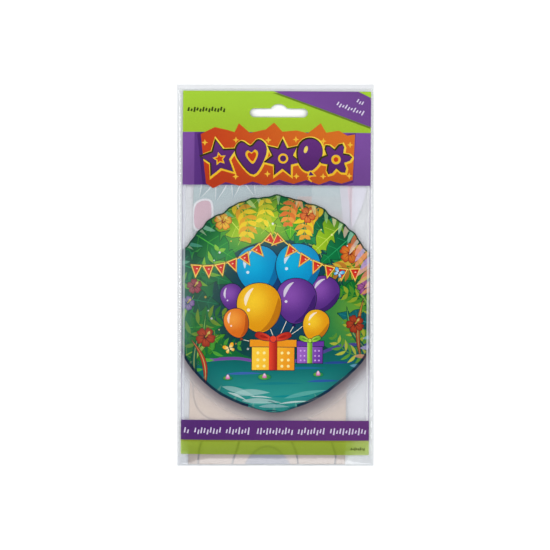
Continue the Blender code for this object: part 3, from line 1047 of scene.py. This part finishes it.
def foil_shine(rim):
    """The shine and shade of a blown-up foil balloon, over the whole picture: a dark line and
    puckers at the rim, a pale sheen down the left, and broken reflections top right and at
    the foot."""
    at = from_disc

    def away(places):
        """Each place's distance from the picture's middle."""
        return np.linalg.norm(places - DISC, axis=-1)

    def bearing(places):
        """Each place's angle round the picture's middle."""
        return np.arctan2(places[..., 1] - DISC[1], places[..., 0] - DISC[0])

    inks = [Ink(rim, "#06303c", share=lambda p: 0.42 * smooth(away(p), 60, 78))]
    for number in range(RIM_PUCKERS):
        turn = 2 * math.pi * number / RIM_PUCKERS + 0.02 * math.sin(number * 2.7)
        deep = 4.0 + 3.0 * math.sin(number * 1.9) ** 2
        strength = 0.16 + 0.3 * (math.sin(turn) > -0.2)
        outer, inner = DISC_RADIUS + 1.5, DISC_RADIUS - deep
        wedge = polar([turn - 0.022, turn, turn + 0.022], [outer, inner, outer], DISC)
        tone = ("#d8f0c8", "#05262e")[number % 2]
        inks.append(Ink(wound(wedge), tone, share=strength * 0.6))
    inks.append(Ink(at(box(-72, -46, -44, 46)), "#7cbca4",
                    share=lambda p: 0.2 * np.exp(-(((p[..., 0] - DISC[0] + 65) / 5.0) ** 2))
                    * smooth(np.abs(p[..., 1] - DISC[1]), 46, 20)))
    shards = [
        (8, 60, 13, 3.0, "#e8a03c", 0.55), (12, 63, 12, 3.4, "#f3a98c", 0.6),
        (15, 58, 14, 2.6, "#f7d46a", 0.5), (18, 62, 13, 3.6, "#e88a6c", 0.65),
        (21, 60, 15, 3.2, "#f2b0a0", 0.6), (24, 64, 12, 3.8, "#b89ad8", 0.65),
        (27, 61, 14, 3.4, "#f2a06a", 0.65), (30, 63, 13, 3.0, "#c8b4e0", 0.6),
        (33, 65, 11, 3.6, "#f0a48c", 0.65), (36, 62, 14, 2.8, "#e8d0c0", 0.5),
        (39, 66, 10, 3.0, "#d87a4c", 0.6), (42, 66, 11, 3.0, "#9cd8b8", 0.5),
        (46, 67, 9, 3.4, "#e0c8b0", 0.5), (50, 66, 11, 2.6, "#b8e0b0", 0.45),
        (55, 68, 9, 3.0, "#e8e0b0", 0.45), (60, 67, 9, 2.6, "#a8d890", 0.4),
        (68, 68, 8, 2.8, "#e0d890", 0.4), (76, 69, 8, 2.6, "#f0a070", 0.5),
        (104, 69, 8, 3.0, "#c8e090", 0.4), (118, 68, 9, 2.6, "#6fc090", 0.4),
        (132, 67, 10, 3.0, "#8fd0b0", 0.4), (144, 66, 11, 2.6, "#4f9f88", 0.5),
        (156, 68, 9, 3.0, "#7fc8a8", 0.4), (-20, 66, 10, 3.0, "#9ab8e8", 0.4),
        (-26, 67, 10, 3.2, "#b8a8e0", 0.45), (-32, 66, 11, 3.0, "#e89a7c", 0.45),
        (-38, 68, 9, 3.0, "#7ab8d8", 0.45),
    ]
    for angle, near, deep, broad, tone, strength in shards:
        turn = math.radians(angle)
        ends = polar([turn - 0.03, turn + 0.05], [near, near + deep + 4], DISC)
        inks.append(Ink(blade(*ends, broad, 0.8, 7), tone, share=strength + 0.12))
    gleams = [
        (-38, -59, -14, -66, 4.0, "#a8ccc8", 0.55), (-30, -64, -4, -63, 4.6, "#b4d6d2", 0.5),
        (-24, -69, 4, -70, 3.6, "#c4d8d6", 0.5), (-34, -63, -20, -69, 1.6, "#eef6f4", 0.5),
        (-12, -73, 10, -73, 2.6, "#9cc0c4", 0.55), (6, -67, 36, -61, 3.0, "#7cc8bc", 0.4),
        (2, -71, 26, -69, 1.2, "#e4f0ee", 0.6), (20, -70, 38, -65, 1.0, "#e4f0ee", 0.55),
        (-18, -66, -2, -67, 1.0, "#f4faf8", 0.55), (40, -60, 56, -47, 2.0, "#9cd0c8", 0.4),
        (-8, -76, 4, -76.5, 1.0, "#0b2a44", 0.8), (-26, -71, -14, -74, 1.4, "#123c50", 0.7),
        (8, -74.5, 20, -73, 1.2, "#0f2f4a", 0.7), (-6, -69, 2, -72, 1.0, "#1d5560", 0.6),
    ]
    inks += [Ink(at(blade((x0, y0), (x1, y1), broad, 0.6)), tone, share=strength)
             for x0, y0, x1, y1, broad, tone, strength in gleams]
    arcs = [(124, 171, 3.8, "#081438"), (188, 236, 3.8, "#081438"), (171, 188, 1.2, "#1d4c58"),
            (10, 110, 2.2, "#0c3a2c")]
    inks += [Ink(ribbon(rim[first:last], width), tone, share=0.88)
             for first, last, width, tone in arcs]
    inks.append(Ink(rim, "#ffffff", share=lambda p: 0.05 * np.exp(-(((away(p) - 52) / 14) ** 2))
                    * np.clip(np.cos(bearing(p) - 2.3), 0, 1)))
    return inks


def disc_shadow():
    """The soft grey-brown shade that the picture casts on the bare window, deepest below."""
    around = polar(all_round(120), DISC_RADIUS + 20, DISC)
    middle = DISC + (1.0, -1.4)

    def share(places):
        """Falls as an exponential of a power of the distance past the rim, over a reach that
        a bell widens below, and grows towards the foot by a cubic step."""
        away = places - middle
        turns = np.arctan2(away[..., 1], away[..., 0]) % (2 * np.pi)
        out = np.linalg.norm(away, axis=-1) - rim_reach(turns)
        along = 7.4 + 1.6 * np.exp(-(((turns - 5.0) / 0.6) ** 2))
        low = smooth(DISC[1] - places[..., 1], -50, 40)
        return (0.2 + 0.66 * low) * np.exp(-(np.clip(out + 1.5, 0, None) / along) ** 1.8)

    return Ink(around, "#65515a", share=share, hides=0.8,
               within=box(-HALF_WIDE, WINDOW_FOOT, HALF_WIDE, TITLE_FOOT))


def title_plate():
    """A jagged orange plate with a row of purple party shapes on it, each with an olive shade
    and a yellow edge."""
    top = [(-54, 98), (-44, 103), (-35, 101), (-30, 99.5), (-27, 105.8), (-19, 99), (-8, 101.5),
           (-2, 106.5), (4, 100), (14, 101), (22, 99), (31, 106.2), (35, 99.5), (44, 101),
           (50, 97.5), (55.5, 98.5)]
    foot = [(54, 66), (46, 63.4), (38, 65.5), (30, 62.6), (21, 65.8), (12, 63), (2, 66),
            (-8, 61.8), (-17, 64.5), (-26, 61.4), (-36, 64), (-45, 59.6), (-50, 63)]
    yellow, violet, red = "#f3bf2c", "#522468", "#c9401a"
    plate = wound(top + foot)
    band = box(-HALF_WIDE, TITLE_FOOT, HALF_WIDE, HEADER_FOOT)
    # The first two passes are a painted shadow that the plate casts on the purple band, deepest
    # in a strip down its left side
    inks = [
        Ink(box(-58.4, 60, -40, 101), "#52287a", fade="#4a1f74", axis=((-59, 0), (-53, 0)),
            share=0.72, within=band),
        Ink(grown(plate, 1.4) + (-1.0, -0.7), "#3f1860", share=0.65, within=band),
        Ink(plate, red, fade="#dd7424", axis=((-50, 60), (50, 104))),
        Ink(box(-56, 58, 56, 82), "#a83418", within=plate, share=ramp(0.5, 84, 60)),
    ]
    heart = blob([(0, -13), (-9, -2), (-10.5, 6), (-6, 10.5), (0, 6.5), (6, 10.5), (10.5, 6),
                  (9, -2)], 5)
    angle = all_round(36)
    daisy = polar(angle, 8.6 + 2.6 * np.cos(6 * angle))
    egg = np.stack([8.6 * np.cos(angle) * (1 + 0.16 * np.sin(angle)), 11.5 * np.sin(angle)], 1)
    shapes = [
        (star((0, 0), 13.0, 5, 0.5), -40.5, 80.5, 0.2), (heart, -17.5, 82.5, 0.12),
        (star((0, 0), 12.5, 7, 0.55), 4.5, 81.0, 0.0), (egg, 23.5, 83.5, -0.12),
        (daisy, 42.0, 80.5, 0.1),
    ]
    placed = [wound(moved(shape, (x, y), turn)) for shape, x, y, turn in shapes]
    for shape in placed:
        inks.append(Ink(grown(shape, 1.7), yellow, fade="#fbe04c", axis=((0, 68), (0, 96)),
                        within=plate))
    for shape in placed:
        inks.append(Ink(grown(shape, 0.7) + (-0.5, 0.5), "#3a3410"))
        inks.append(Ink(shape, violet, fade="#683080", axis=((0, 66), (0, 98))))
    knot = wound([(24.4, 71.6), (26.6, 69.2), (22.8, 69.0), (23.6, 71.6)])
    tail = ribbon(through([(24.6, 69.0), (22.8, 66.8), (25.0, 64.6)]), 0.9)
    tilted = math.pi / 2 + 0.2
    marks = [
        (grown(knot, 0.9), yellow), (knot, violet), (tail, yellow),
        (oval((42.0, 80.5), 3.4), yellow), (oval((42.0, 80.5), 1.7), red),
        (star((-40.5, 80.5), 5.0, 5, 0.5, tilted), yellow),
        (star((-40.5, 80.5), 3.2, 5, 0.5, tilted), red),
        (moved(heart, (-17.5, 82.5), 0.12, 0.42), yellow),
        (moved(heart, (-17.5, 82.5), 0.12, 0.28), red),
        (oval((4.5, 81.0), 3.6), yellow), (oval((4.5, 81.0), 2.2), violet),
        (oval((20.6, 87.4), 1.3, 2.6, -0.3), "#f7dc6a"),
    ]
    inks += [Ink(outline, tone) for outline, tone in marks]
    sparks = [(-29, 94), (-29, 68), (-6, 94), (-6.5, 70), (14, 68.5), (13.5, 94.5), (33, 93.5),
              (33, 68.5), (52, 91), (-51, 92), (51.5, 69)]
    inks += [Ink(star(spot, 2.3, 4, 0.4), "#f3c13a", within=plate) for spot in sparks]
    return inks


def shown_through():
    """The foil's lines, painted faintly on the green foot band where they would show through it.
    """
    band = box(-HALF_WIDE, -HALF_TALL, HALF_WIDE, NOTE_FOOT - BAND_LAP)
    inks = []
    for points in (*FOIL_LINES, FOIL_PATCH):
        line = in_bundle(ribbon(through(points), 1.5)) - SHEET_CENTRE
        inks.append(Ink(moved(line, turn=-SHEET_TURN), "#6c7d1c", share=0.3, hides=0.6,
                        within=band))
    return inks


def sheet_inks(rim):
    """Every pass of the insert's print, from the bands up to the last line of strokes."""
    wide, tall = HALF_WIDE, HALF_TALL
    bands = [
        (HEADER_FOOT, tall, "#afd83c", "#a9cc34", ((0, 128), (0, 100)), 0.93),
        (TITLE_FOOT, HEADER_FOOT, "#8252a3", "#744892", ((0, 100), (0, 62)), 0.96),
        (NOTE_FOOT, WINDOW_FOOT, "#562a72", "#663479", ((-66, 0), (66, 0)), 0.95),
        (-tall, NOTE_FOOT, "#b0cc26", "#aac62c", ((0, -119), (0, -129)), 0.5),
    ]
    inks = [Ink(box(-wide, foot, wide, top), *tone_and_fade, hides=hides)
            for foot, top, *tone_and_fade, hides in bands]
    inks += [
        Ink(box(-wide, NOTE_FOOT - BAND_LAP, wide, NOTE_FOOT), "#7c6a34", share=0.45, hides=0.9),
        Ink(box(50, -tall, wide, NOTE_FOOT), "#dcea9a", hides=0.5, share=ramp(0.35, 50, 60, 0)),
        Ink(box(-wide, TITLE_FOOT - BAND_GLOW, wide, TITLE_FOOT), "#8a6a9e", hides=0.5,
            share=ramp(0.5, TITLE_FOOT - BAND_GLOW, TITLE_FOOT)),
        Ink(box(-wide, WINDOW_FOOT, wide, WINDOW_FOOT + BAND_GLOW), "#a884c8", hides=0.3,
            share=ramp(0.3, WINDOW_FOOT + BAND_GLOW, WINDOW_FOOT)),
    ]
    sash = wound([(-2.6, tall), (67, 103.7), (67, 124.4), (57.7, tall)])
    # A painted shadow under the purple sash: a darker copy of it, moved down and to the left,
    # laid under the sash itself
    inks += [
        Ink(sash + (-0.6, -1.3), "#4e5a26", share=0.75),
        Ink(sash, "#7f4fa0", fade="#764a95", axis=((0, 128), (66, 106))),
    ]
    inks += strokes((-63.0, 113.6), 0.0, [2.1] * 13, 3.9, "#0e1806", 1.5, 0.4)
    inks += strokes((56.4, 120.6), -0.33, [1.9] * 3, 3.4, "#f0e8f8", 0.95, 1.2)
    inks += strokes((42.2, 118.4), -0.34, [2.1] * 10, 3.6, "#f0e8f8", 0.95, 2.0)
    inks += title_plate()
    inks += [disc_shadow(), *disc_art(rim)]
    for hand in (-1, 1):
        edge = hand * (wide - 0.25)
        inks.append(Ink(box(edge - 0.3, WINDOW_FOOT, edge + 0.3, TITLE_FOOT), "#8f86a4",
                        share=0.75, hides=0.7))
        inner = hand * (wide - 1.5)
        inks.append(Ink(box(inner - 0.7, WINDOW_FOOT, inner + 0.7, TITLE_FOOT),
                        "#dfe5f0" if hand < 0 else "#ffffff", share=0.5, hides=0.65))
    words = [2.2] * 2 + [-3.0] + [2.2] * 9 + [-2.6] + [2.2] * 8 + [-4.4] + [2.2] * 12 + [-2.6]
    words += [2.2] * 9 + [-3.0] + [2.2] * 12
    inks += strokes((-64.2, -114.8), 0.0, words, 5.2, "#e2d8ee", 1.05, 0.7)
    inks += strokes((54.0, -125.8), 0.0, [1.3] * 8, 2.4, "#2a350c", 0.95, 0.0)
    return inks + shown_through()


def build_insert():
    """The printed sheet: a plan that follows every ink's outline, printed at its corners."""
    inks = sheet_inks(disc_outline())
    edge = box(-HALF_WIDE, -HALF_TALL, HALF_WIDE, HALF_TALL)
    hole = slot_outline(SLOT_ROOM)
    lattices = [
        (PLAIN_STEP, (-HALF_WIDE, TITLE_FOOT, HALF_WIDE, HALF_TALL)),
        (PLAIN_STEP, (-HALF_WIDE, -HALF_TALL, HALF_WIDE, WINDOW_FOOT)),
        (FINE_STEP, (DISC[0] - 72, DISC[1] - 84, DISC[0] + 72, DISC[1] + 80)),
    ]
    places, triangles = plan(edge, [hole], [ink.outline for ink in inks], lattices)
    front = printed(places, triangles, inks, WINDOW_TONE, WINDOW_HIDES)
    under, under_triangles = plan(edge, [hole], [], [(PLAIN_STEP, (*edge[0], *edge[2]))],
                                  (places, triangles))
    clear_back = np.array([*rgb(WINDOW_TONE), BACK_HIDES])
    cut_edge = np.array([*rgb(CUT_TONE), CUT_HIDES])
    only = sheet((in_sheet(places), triangles), (in_sheet(under), under_triangles),
                 sheet_front, sheet_back, front, clear_back, cut_edge)
    return stacked("printed_sheet", [only], printed_sheet())


# The folded balloon

BACK_CREASES = [
    ((-34, -134), (-30, 84), 2.6, 0.2), ((-6, -134), (-3, 88), 3.0, 0.24),
    ((24, -134), (27, 80), 2.6, 0.2), ((-62, -84), (50, -78), 3.0, 0.22),
    ((-61, -18), (52, -12), 3.0, 0.24), ((-60, 44), (53, 48), 2.8, 0.2),
    ((-60, -130), (-16, -88), 3.4, 0.16), ((50, -120), (6, -70), 3.6, 0.16),
    ((-56, 20), (10, -46), 4.0, 0.14), ((46, 70), (0, 10), 3.6, 0.15),
]
FRONT_CREASES = [
    ((-60, -60), (48, -66), 1.2, 0.16), ((-58, -8), (50, -2), 1.4, 0.14),
    ((-57, 40), (52, 34), 1.2, 0.15), ((-20, -132), (-12, 88), 1.0, 0.12),
    ((20, -132), (22, 60), 1.2, 0.12), ((-60, -130), (-30, -96), 2.0, 0.1),
    ((48, -130), (20, -100), 2.0, 0.12), ((-58, 60), (-20, 20), 1.8, 0.1),
]
PANEL_TRIMS = [(0.0, 0.3, 0.2), (0.5, 0.0, 0.0), (0.2, 0.5, 0.3), (0.6, 0.2, 0.1),
               (0.1, 0.0, 0.0)]
LEAF_APART = 0.02

# How bare the foil is: under its print, along its folds and cut edges, and on its back
PRINT_BARE, EDGE_BARE, BACK_BARE = 0.12, 0.45, 0.85


def foil_creases(x, y, creases):
    """Fold lines and a slow waviness, always inward, up to a quarter of a millimetre."""
    relief = sum(crease(x, y, *each) for each in creases)
    wave = 0.03 * (1 + np.sin(x / 7.0 + np.sin(y / 11.0)) * np.sin(y / 9.0))
    return np.clip(relief + wave, 0, 0.25)


def disc_height(from_middle):
    """Half the flat balloon's height at a distance from its middle, less the fold."""
    return np.sqrt(np.clip(FLAT_RADIUS**2 - from_middle**2, 0, None)) - FOLD_TAKE_UP


def leaf_outline(left, right, foot, top_of):
    """One panel of the folded foil: straight at the foot and sides, with an arc of the flat
    balloon's edge at the head, which top_of gives."""
    x = np.linspace(right, left, 40)
    return np.vstack([[(left, foot), (right, foot)], np.stack([x, top_of(x)], 1)])


def wing_outline():
    """The corner of an inner leaf past the strip's right edge: its free edge runs out from the
    foot in a quarter wave, and rounds into the balloon's edge at the head."""
    share = np.linspace(0, 0.86, 12)
    reach = FOLDED_WIDE + WING_REACH * np.sin(share * np.pi / 2)
    edge = np.stack([reach, WING_FOOT + WING_TALL * share], 1)
    head = [(FOLDED_WIDE + 11.6, 201.8), (FOLDED_WIDE + 9.4, 203.8), (FOLDED_WIDE + 5, 204.8)]
    hidden = FOLDED_WIDE - WING_LAP
    return np.vstack([edge, head, [(hidden, WING_FOOT + WING_TALL), (hidden, WING_FOOT)]])


def level(share, slack=0.0):
    """The height at a share of the bundle's thickness. Creases sink the upper leaves and raise
    the lower ones in proportion, at most to the middle, so that leaves never cross."""
    def height(x, y):
        """That share of the sunk top, and the rest of the raised bottom."""
        lift = BUNDLE * swell(x, y) - foil_creases(x, y, FRONT_CREASES)
        lift = np.maximum(lift, THINNEST)
        raised = np.minimum(foil_creases(x, y, BACK_CREASES), lift / 2)
        return FILM + GAP + share * lift + (1 - share) * raised + slack
    return height


def weld_inks():
    """On the foil's silver back: the welded rim along the head's arc, duller than the rest and
    edged with two fine lines."""
    x = np.linspace(FOLDED_WIDE, 0, 40)

    def along(inset, width):
        """A stroke that follows the head's arc, a distance inside it."""
        return ribbon(in_bundle(np.stack([x, disc_height(x) - inset], 1)), width)

    return [
        Ink(along(3.0, 4.6), "#b9b9c1", hides=0.7),
        Ink(along(5.4, 0.5), "#8e8e98", hides=0.7), Ink(along(0.8, 0.4), "#8e8e98", hides=0.7),
    ]


def build_balloon():
    """The folded foil as a stack of thin leaves: five inner panels with slightly different
    edges, the outer panel with its opposite arc, the neck's tail, and the wing."""
    inks, rim_inks = foil_inks(), weld_inks()
    levels = INNER_LEAVES + 1
    leaves = []
    for number, (from_left, from_right, from_foot) in enumerate(PANEL_TRIMS):
        outline = leaf_outline(from_left, FOLDED_WIDE - from_right, from_foot, disc_height)
        seen = number in (0, INNER_LEAVES - 1)
        leaves.append((outline, number / levels, (number + 1) / levels, seen))
    outer = leaf_outline(OUTER_START, FOLDED_WIDE - OUTER_INSET, 0.0,
                         lambda x: disc_height(FLAT_RADIUS - x) - OUTER_INSET)
    x = np.linspace(TAIL_RIGHT, TAIL_LEFT, 12)
    tail = np.vstack([np.stack([x[::-1], disc_height(x[::-1]) - TAIL_LONG], 1),
                      np.stack([x, disc_height(x) - OUTER_INSET], 1)])
    top_level = INNER_LEAVES / levels
    leaves += [(outer, top_level, 1.0, True), (tail, top_level, 0.97, True),
               (wing_outline(), 0.02, 0.3, True)]
    fold = np.array([*rgb("#dcdbe0"), EDGE_BARE])
    sheets = []
    for outline, low, high, seen in leaves:
        lowest = low == 0
        passes = rim_inks if lowest else inks if seen else []
        lattice = (SEEN_STEP if seen else HIDDEN_STEP, (-64, -136, 68, 96))
        drawn = plan(in_bundle(outline), [], [ink.outline for ink in passes], [lattice])
        front = printed(*drawn, inks if seen else [], "#cabdb6", PRINT_BARE)
        front[..., 3] = PRINT_BARE
        back = printed(*drawn, rim_inks if lowest else [], "#d4d3d8", BACK_BARE)[:, ::-1]
        roof, floor = level(high, -LEAF_APART), level(low)
        sheets.append(sheet(drawn, drawn, roof, floor, front, back, fold))
    return stacked("folded_foil", sheets, metallised_film())


def foil_inks():
    """The part of the balloon's own print that lies upwards in the folded strip: pale leaves
    and plain fields with thin outlines. Over it all, the strip darkens towards its foot edge."""
    at = in_bundle
    whole = at(box(-2, -2, FOLDED_WIDE + 2, FOLDED_TALL + 2))
    inks = [
        Ink(whole, "#b6c8ca", fade="#cdc0ba", axis=((0, 60), (0, -20))),
        Ink(at(box(-2, -2, 18, 120)), "#d6c5be", fade="#cabdb6", axis=((-60, 0), (-40, -130))),
        Ink(at(box(74, -2, 116, 190)), "#d0c2bc", fade="#cabdb6", axis=((10, -60), (40, -130))),
    ]
    for base, tip, width, bend in (
        ((14, 225), (4, 188), 9, 3), ((22, 226), (16, 186), 9, 2),
        ((30, 226), (28, 188), 8, 2), ((38, 226), (44, 190), 9, -3),
        ((60, 226), (70, 196), 9, -2), ((92, 200), (108, 188), 8, 3),
    ):
        inks += [Ink(at(blade(base, tip, width + more, bend)), tone)
                 for more, tone in ((2.4, "#eef2f3"), (0, "#a8bcbf"))]
    upper = at(box(84, 150, FOLDED_WIDE + 14, 230))
    inks += [
        Ink(upper, "#c8d6d8", share=ramp(0.85, 30, 50)),
        Ink(wound(at([(100, 230), (108, 230), (119, 150), (109, 150)])), "#dedce4"),
        Ink(wound(at([(105, 230), (113, 230), (123, 150), (115, 150)])), "#efd9e2"),
        Ink(at(box(FOLDED_WIDE + 1.5, 150, FOLDED_WIDE + 14, 230)), "#e8e1ea", fade="#edecf5",
            axis=((51, 0), (58, 0))),
    ]
    square = at(blob([(2, 184), (12, 186), (12, 170), (2, 168)]))
    inks += [Ink(grown(square, 1.4), "#eaebee"), Ink(square, "#d8b4c0")]
    inks.append(Ink(at(box(-2, 16, FOLDED_WIDE + 2, 110)), "#e2d0c0",
                    share=lambda p: 0.9 * smooth(p[..., 1], -30, -84)
                    * smooth(p[..., 1], -117, -112)))
    for points in FOIL_LINES:
        inks.append(Ink(at(ribbon(through(points), 1.4)), "#6f757f",
                        share=lambda p: 0.3 + 0.45 * smooth(p[..., 1], -104, -118)))
    patch = at(blob(FOIL_PATCH))
    inks += [Ink(grown(patch, 0.8), "#8d90a4", share=0.6), Ink(patch, "#a6a9b8")]
    # Darker towards the strip's foot edge
    foot = at(box(-2, -2, FOLDED_WIDE + 2, 20))
    inks.append(Ink(foot, "#6f6560", share=ramp(0.34, -116, -128)))
    return inks


# The pouch

WELD_BLUR = 0.15
RIGHT_WELD_MILK, CORNER_MILK = 0.3, 0.8


def film_milk(x, y):
    """How milky the film is: full on the welds, faint on the right one, and again in the two
    foot corners, where the folded walls cling together. Cubic steps of distance blend them."""
    from_left, from_right = x - seam_left, seam_right - x
    away = np.minimum.reduce([from_left, from_right, y - seam_foot, seam_top - y])
    on_right = (x > 0) & (away == from_right)
    weld = smooth(-away, -WELD_BLUR, WELD_BLUR) * np.where(on_right, RIGHT_WELD_MILK, 1.0)
    corner = smooth(x - pouch_low[0], 13, 8) + 0.4 * smooth(pouch_high[0] - x, 22, 14)
    return np.maximum(weld, CORNER_MILK * corner * smooth(y - pouch_low[1], 10, 7))


def build_pouch():
    """The film: a plan lifted four times, as each wall's outer and inner face. The inner faces
    end and meet at the seams, the outer ones at the pouch's edge, and at the slot each wall's
    two faces are joined."""
    left, foot, _ = pouch_low
    right, top, _ = pouch_high
    seams, *lifts = [
        box(seam_left + by, seam_foot + by, seam_right - by, seam_top - by)
        for by in (0, EDGE_REACH / 2, EDGE_REACH)
    ]
    slot = in_sheet(slot_outline(0.0))
    outline = box(left, foot, right, top)
    lattice = (FILM_STEP, (seam_left, seam_foot, seam_right, seam_top))
    places, triangles = plan(outline, [slot], [seams, *lifts], [lattice])
    x, y = places.T
    hollow = triangles[inside(places[triangles].mean(1), seams)]
    count = len(places)
    inner = film_inner(x, y)
    points = np.vstack([lifted(places, height) for height in (inner + FILM, inner, FILM, 0.0)])
    upper_inner, lower_inner, lower_outer = (np.arange(count) + k * count for k in (1, 2, 3))
    hollow_rim = free_edges(hollow)
    at_slot = np.linalg.norm(places[:, None] - slot[None], axis=2).min(1) < TOUCHING
    at_seam = np.unique(hollow_rim[~at_slot[hollow_rim].all(1)])
    upper_inner[at_seam] = lower_inner[at_seam]
    rim = free_edges(triangles)
    round_slot = at_slot[rim].all(1)
    slot_rim, outer_rim = rim[round_slot], rim[~round_slot]
    faces = np.vstack([
        triangles, upper_inner[hollow][:, ::-1],
        lower_inner[hollow], lower_outer[triangles][:, ::-1],
        walls(outer_rim, 0, lower_outer), walls(slot_rim, 0, upper_inner),
        walls(slot_rim, 2 * count, lower_outer),
    ])
    used, renumbered = np.unique(faces, return_inverse=True)
    made = piece("clear_pouch", points[used], renumbered.reshape(-1, 3), cast_film())
    milk = np.tile(film_milk(x, y), 4)[used]
    attribute = made.data.attributes.new("weld", "FLOAT", "POINT")
    attribute.data.foreach_set("value", milk.astype(np.float32))
    return made


# The stage, in metres

FLOOR_SIZE = 30.0
FLOOR_BELOW = 0.00005
SOFT_BOX = 1.0
CLEAR_LAYERS = 24
CAMERA_LENS, CAMERA_SENSOR, CAMERA_AWAY = 100.0, 36.0, 1.0853
CAMERA_SHIFT = (-0.00038, 0.00013)
ZENITH_TONE, DOME_TONE = 0.02, 0.55
DOME_START, DOME_FULL = 0.955, 0.86


def build_stage():
    """The floor: one square face just below the packet."""
    mesh = bpy.data.meshes.new("studio_floor")
    half = FLOOR_SIZE / 2
    corners = [(x, y, -FLOOR_BELOW) for x, y in box(-half, -half, half, half)]
    mesh.from_pydata(corners, [], [(0, 1, 2, 3)])
    mesh.materials.append(studio_floor())
    floor = bpy.data.objects.new("studio_floor", mesh)
    bpy.context.scene.collection.objects.link(floor)


def area_light(name, place, power):
    """A square soft light that looks at the packet."""
    light = bpy.data.lights.new(name, "AREA")
    light.size = SOFT_BOX
    light.energy = power
    made = bpy.data.objects.new(name, light)
    made.location = place
    made.rotation_euler = Vector(place).to_track_quat("Z", "Y").to_euler()
    bpy.context.scene.collection.objects.link(made)


def build_lights():
    """Three soft boxes low round the packet, and a pale dome that is dark overhead, so that
    the flat film doesn't mirror it into a view from above."""
    for name, place, power in (
        ("left_box", (-1.25, 0.35, 1.05), 16.0), ("right_box", (1.25, 0.2, 1.05), 13.0),
        ("foot_box", (0.1, -1.3, 1.1), 10.0),
    ):
        area_light(name, place, power)
    world = bpy.data.worlds.new("studio_dome")
    world.use_nodes = True
    tree = world.node_tree
    tree.nodes.clear()
    aim = node(tree, "ShaderNodeTexCoord").outputs["Generated"]
    height = node(tree, "ShaderNodeSeparateXYZ", Vector=aim).outputs["Z"]
    settings = {"interpolation_type": "SMOOTHSTEP", "From Min": DOME_FULL, "From Max": DOME_START,
                "To Min": DOME_TONE, "To Max": ZENITH_TONE}
    tone = node(tree, "ShaderNodeMapRange", settings, Value=height)
    sky = node(tree, "ShaderNodeBackground", {"Color": (1, 1, 1, 1)}, Strength=tone)
    node(tree, "ShaderNodeOutputWorld", Surface=sky)
    bpy.context.scene.world = world


def build_camera():
    """Straight down, as the photograph looks straight at the packet's front."""
    camera = bpy.data.cameras.new("camera")
    camera.lens = CAMERA_LENS
    camera.sensor_width = CAMERA_SENSOR
    made = bpy.data.objects.new("camera", camera)
    made.location = (*CAMERA_SHIFT, CAMERA_AWAY)
    bpy.context.scene.collection.objects.link(made)
    bpy.context.scene.camera = made
    bpy.context.scene.view_settings.view_transform = "Standard"
    bpy.context.scene.cycles.transparent_max_bounces = CLEAR_LAYERS


def build():
    """The three pieces, each on the root body in place of its CAD node, and the stage."""
    for made, stands_for, slot_name in (
        (build_balloon(), "folded_balloon", "silver_foil"),
        (build_insert(), "printed_insert", "printed_sheet"),
        (build_pouch(), "film_pouch", "clear_film"),
    ):
        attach(made, "root")
        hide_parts(stands_for)
    build_stage()
    build_lights()
    build_camera()


build()
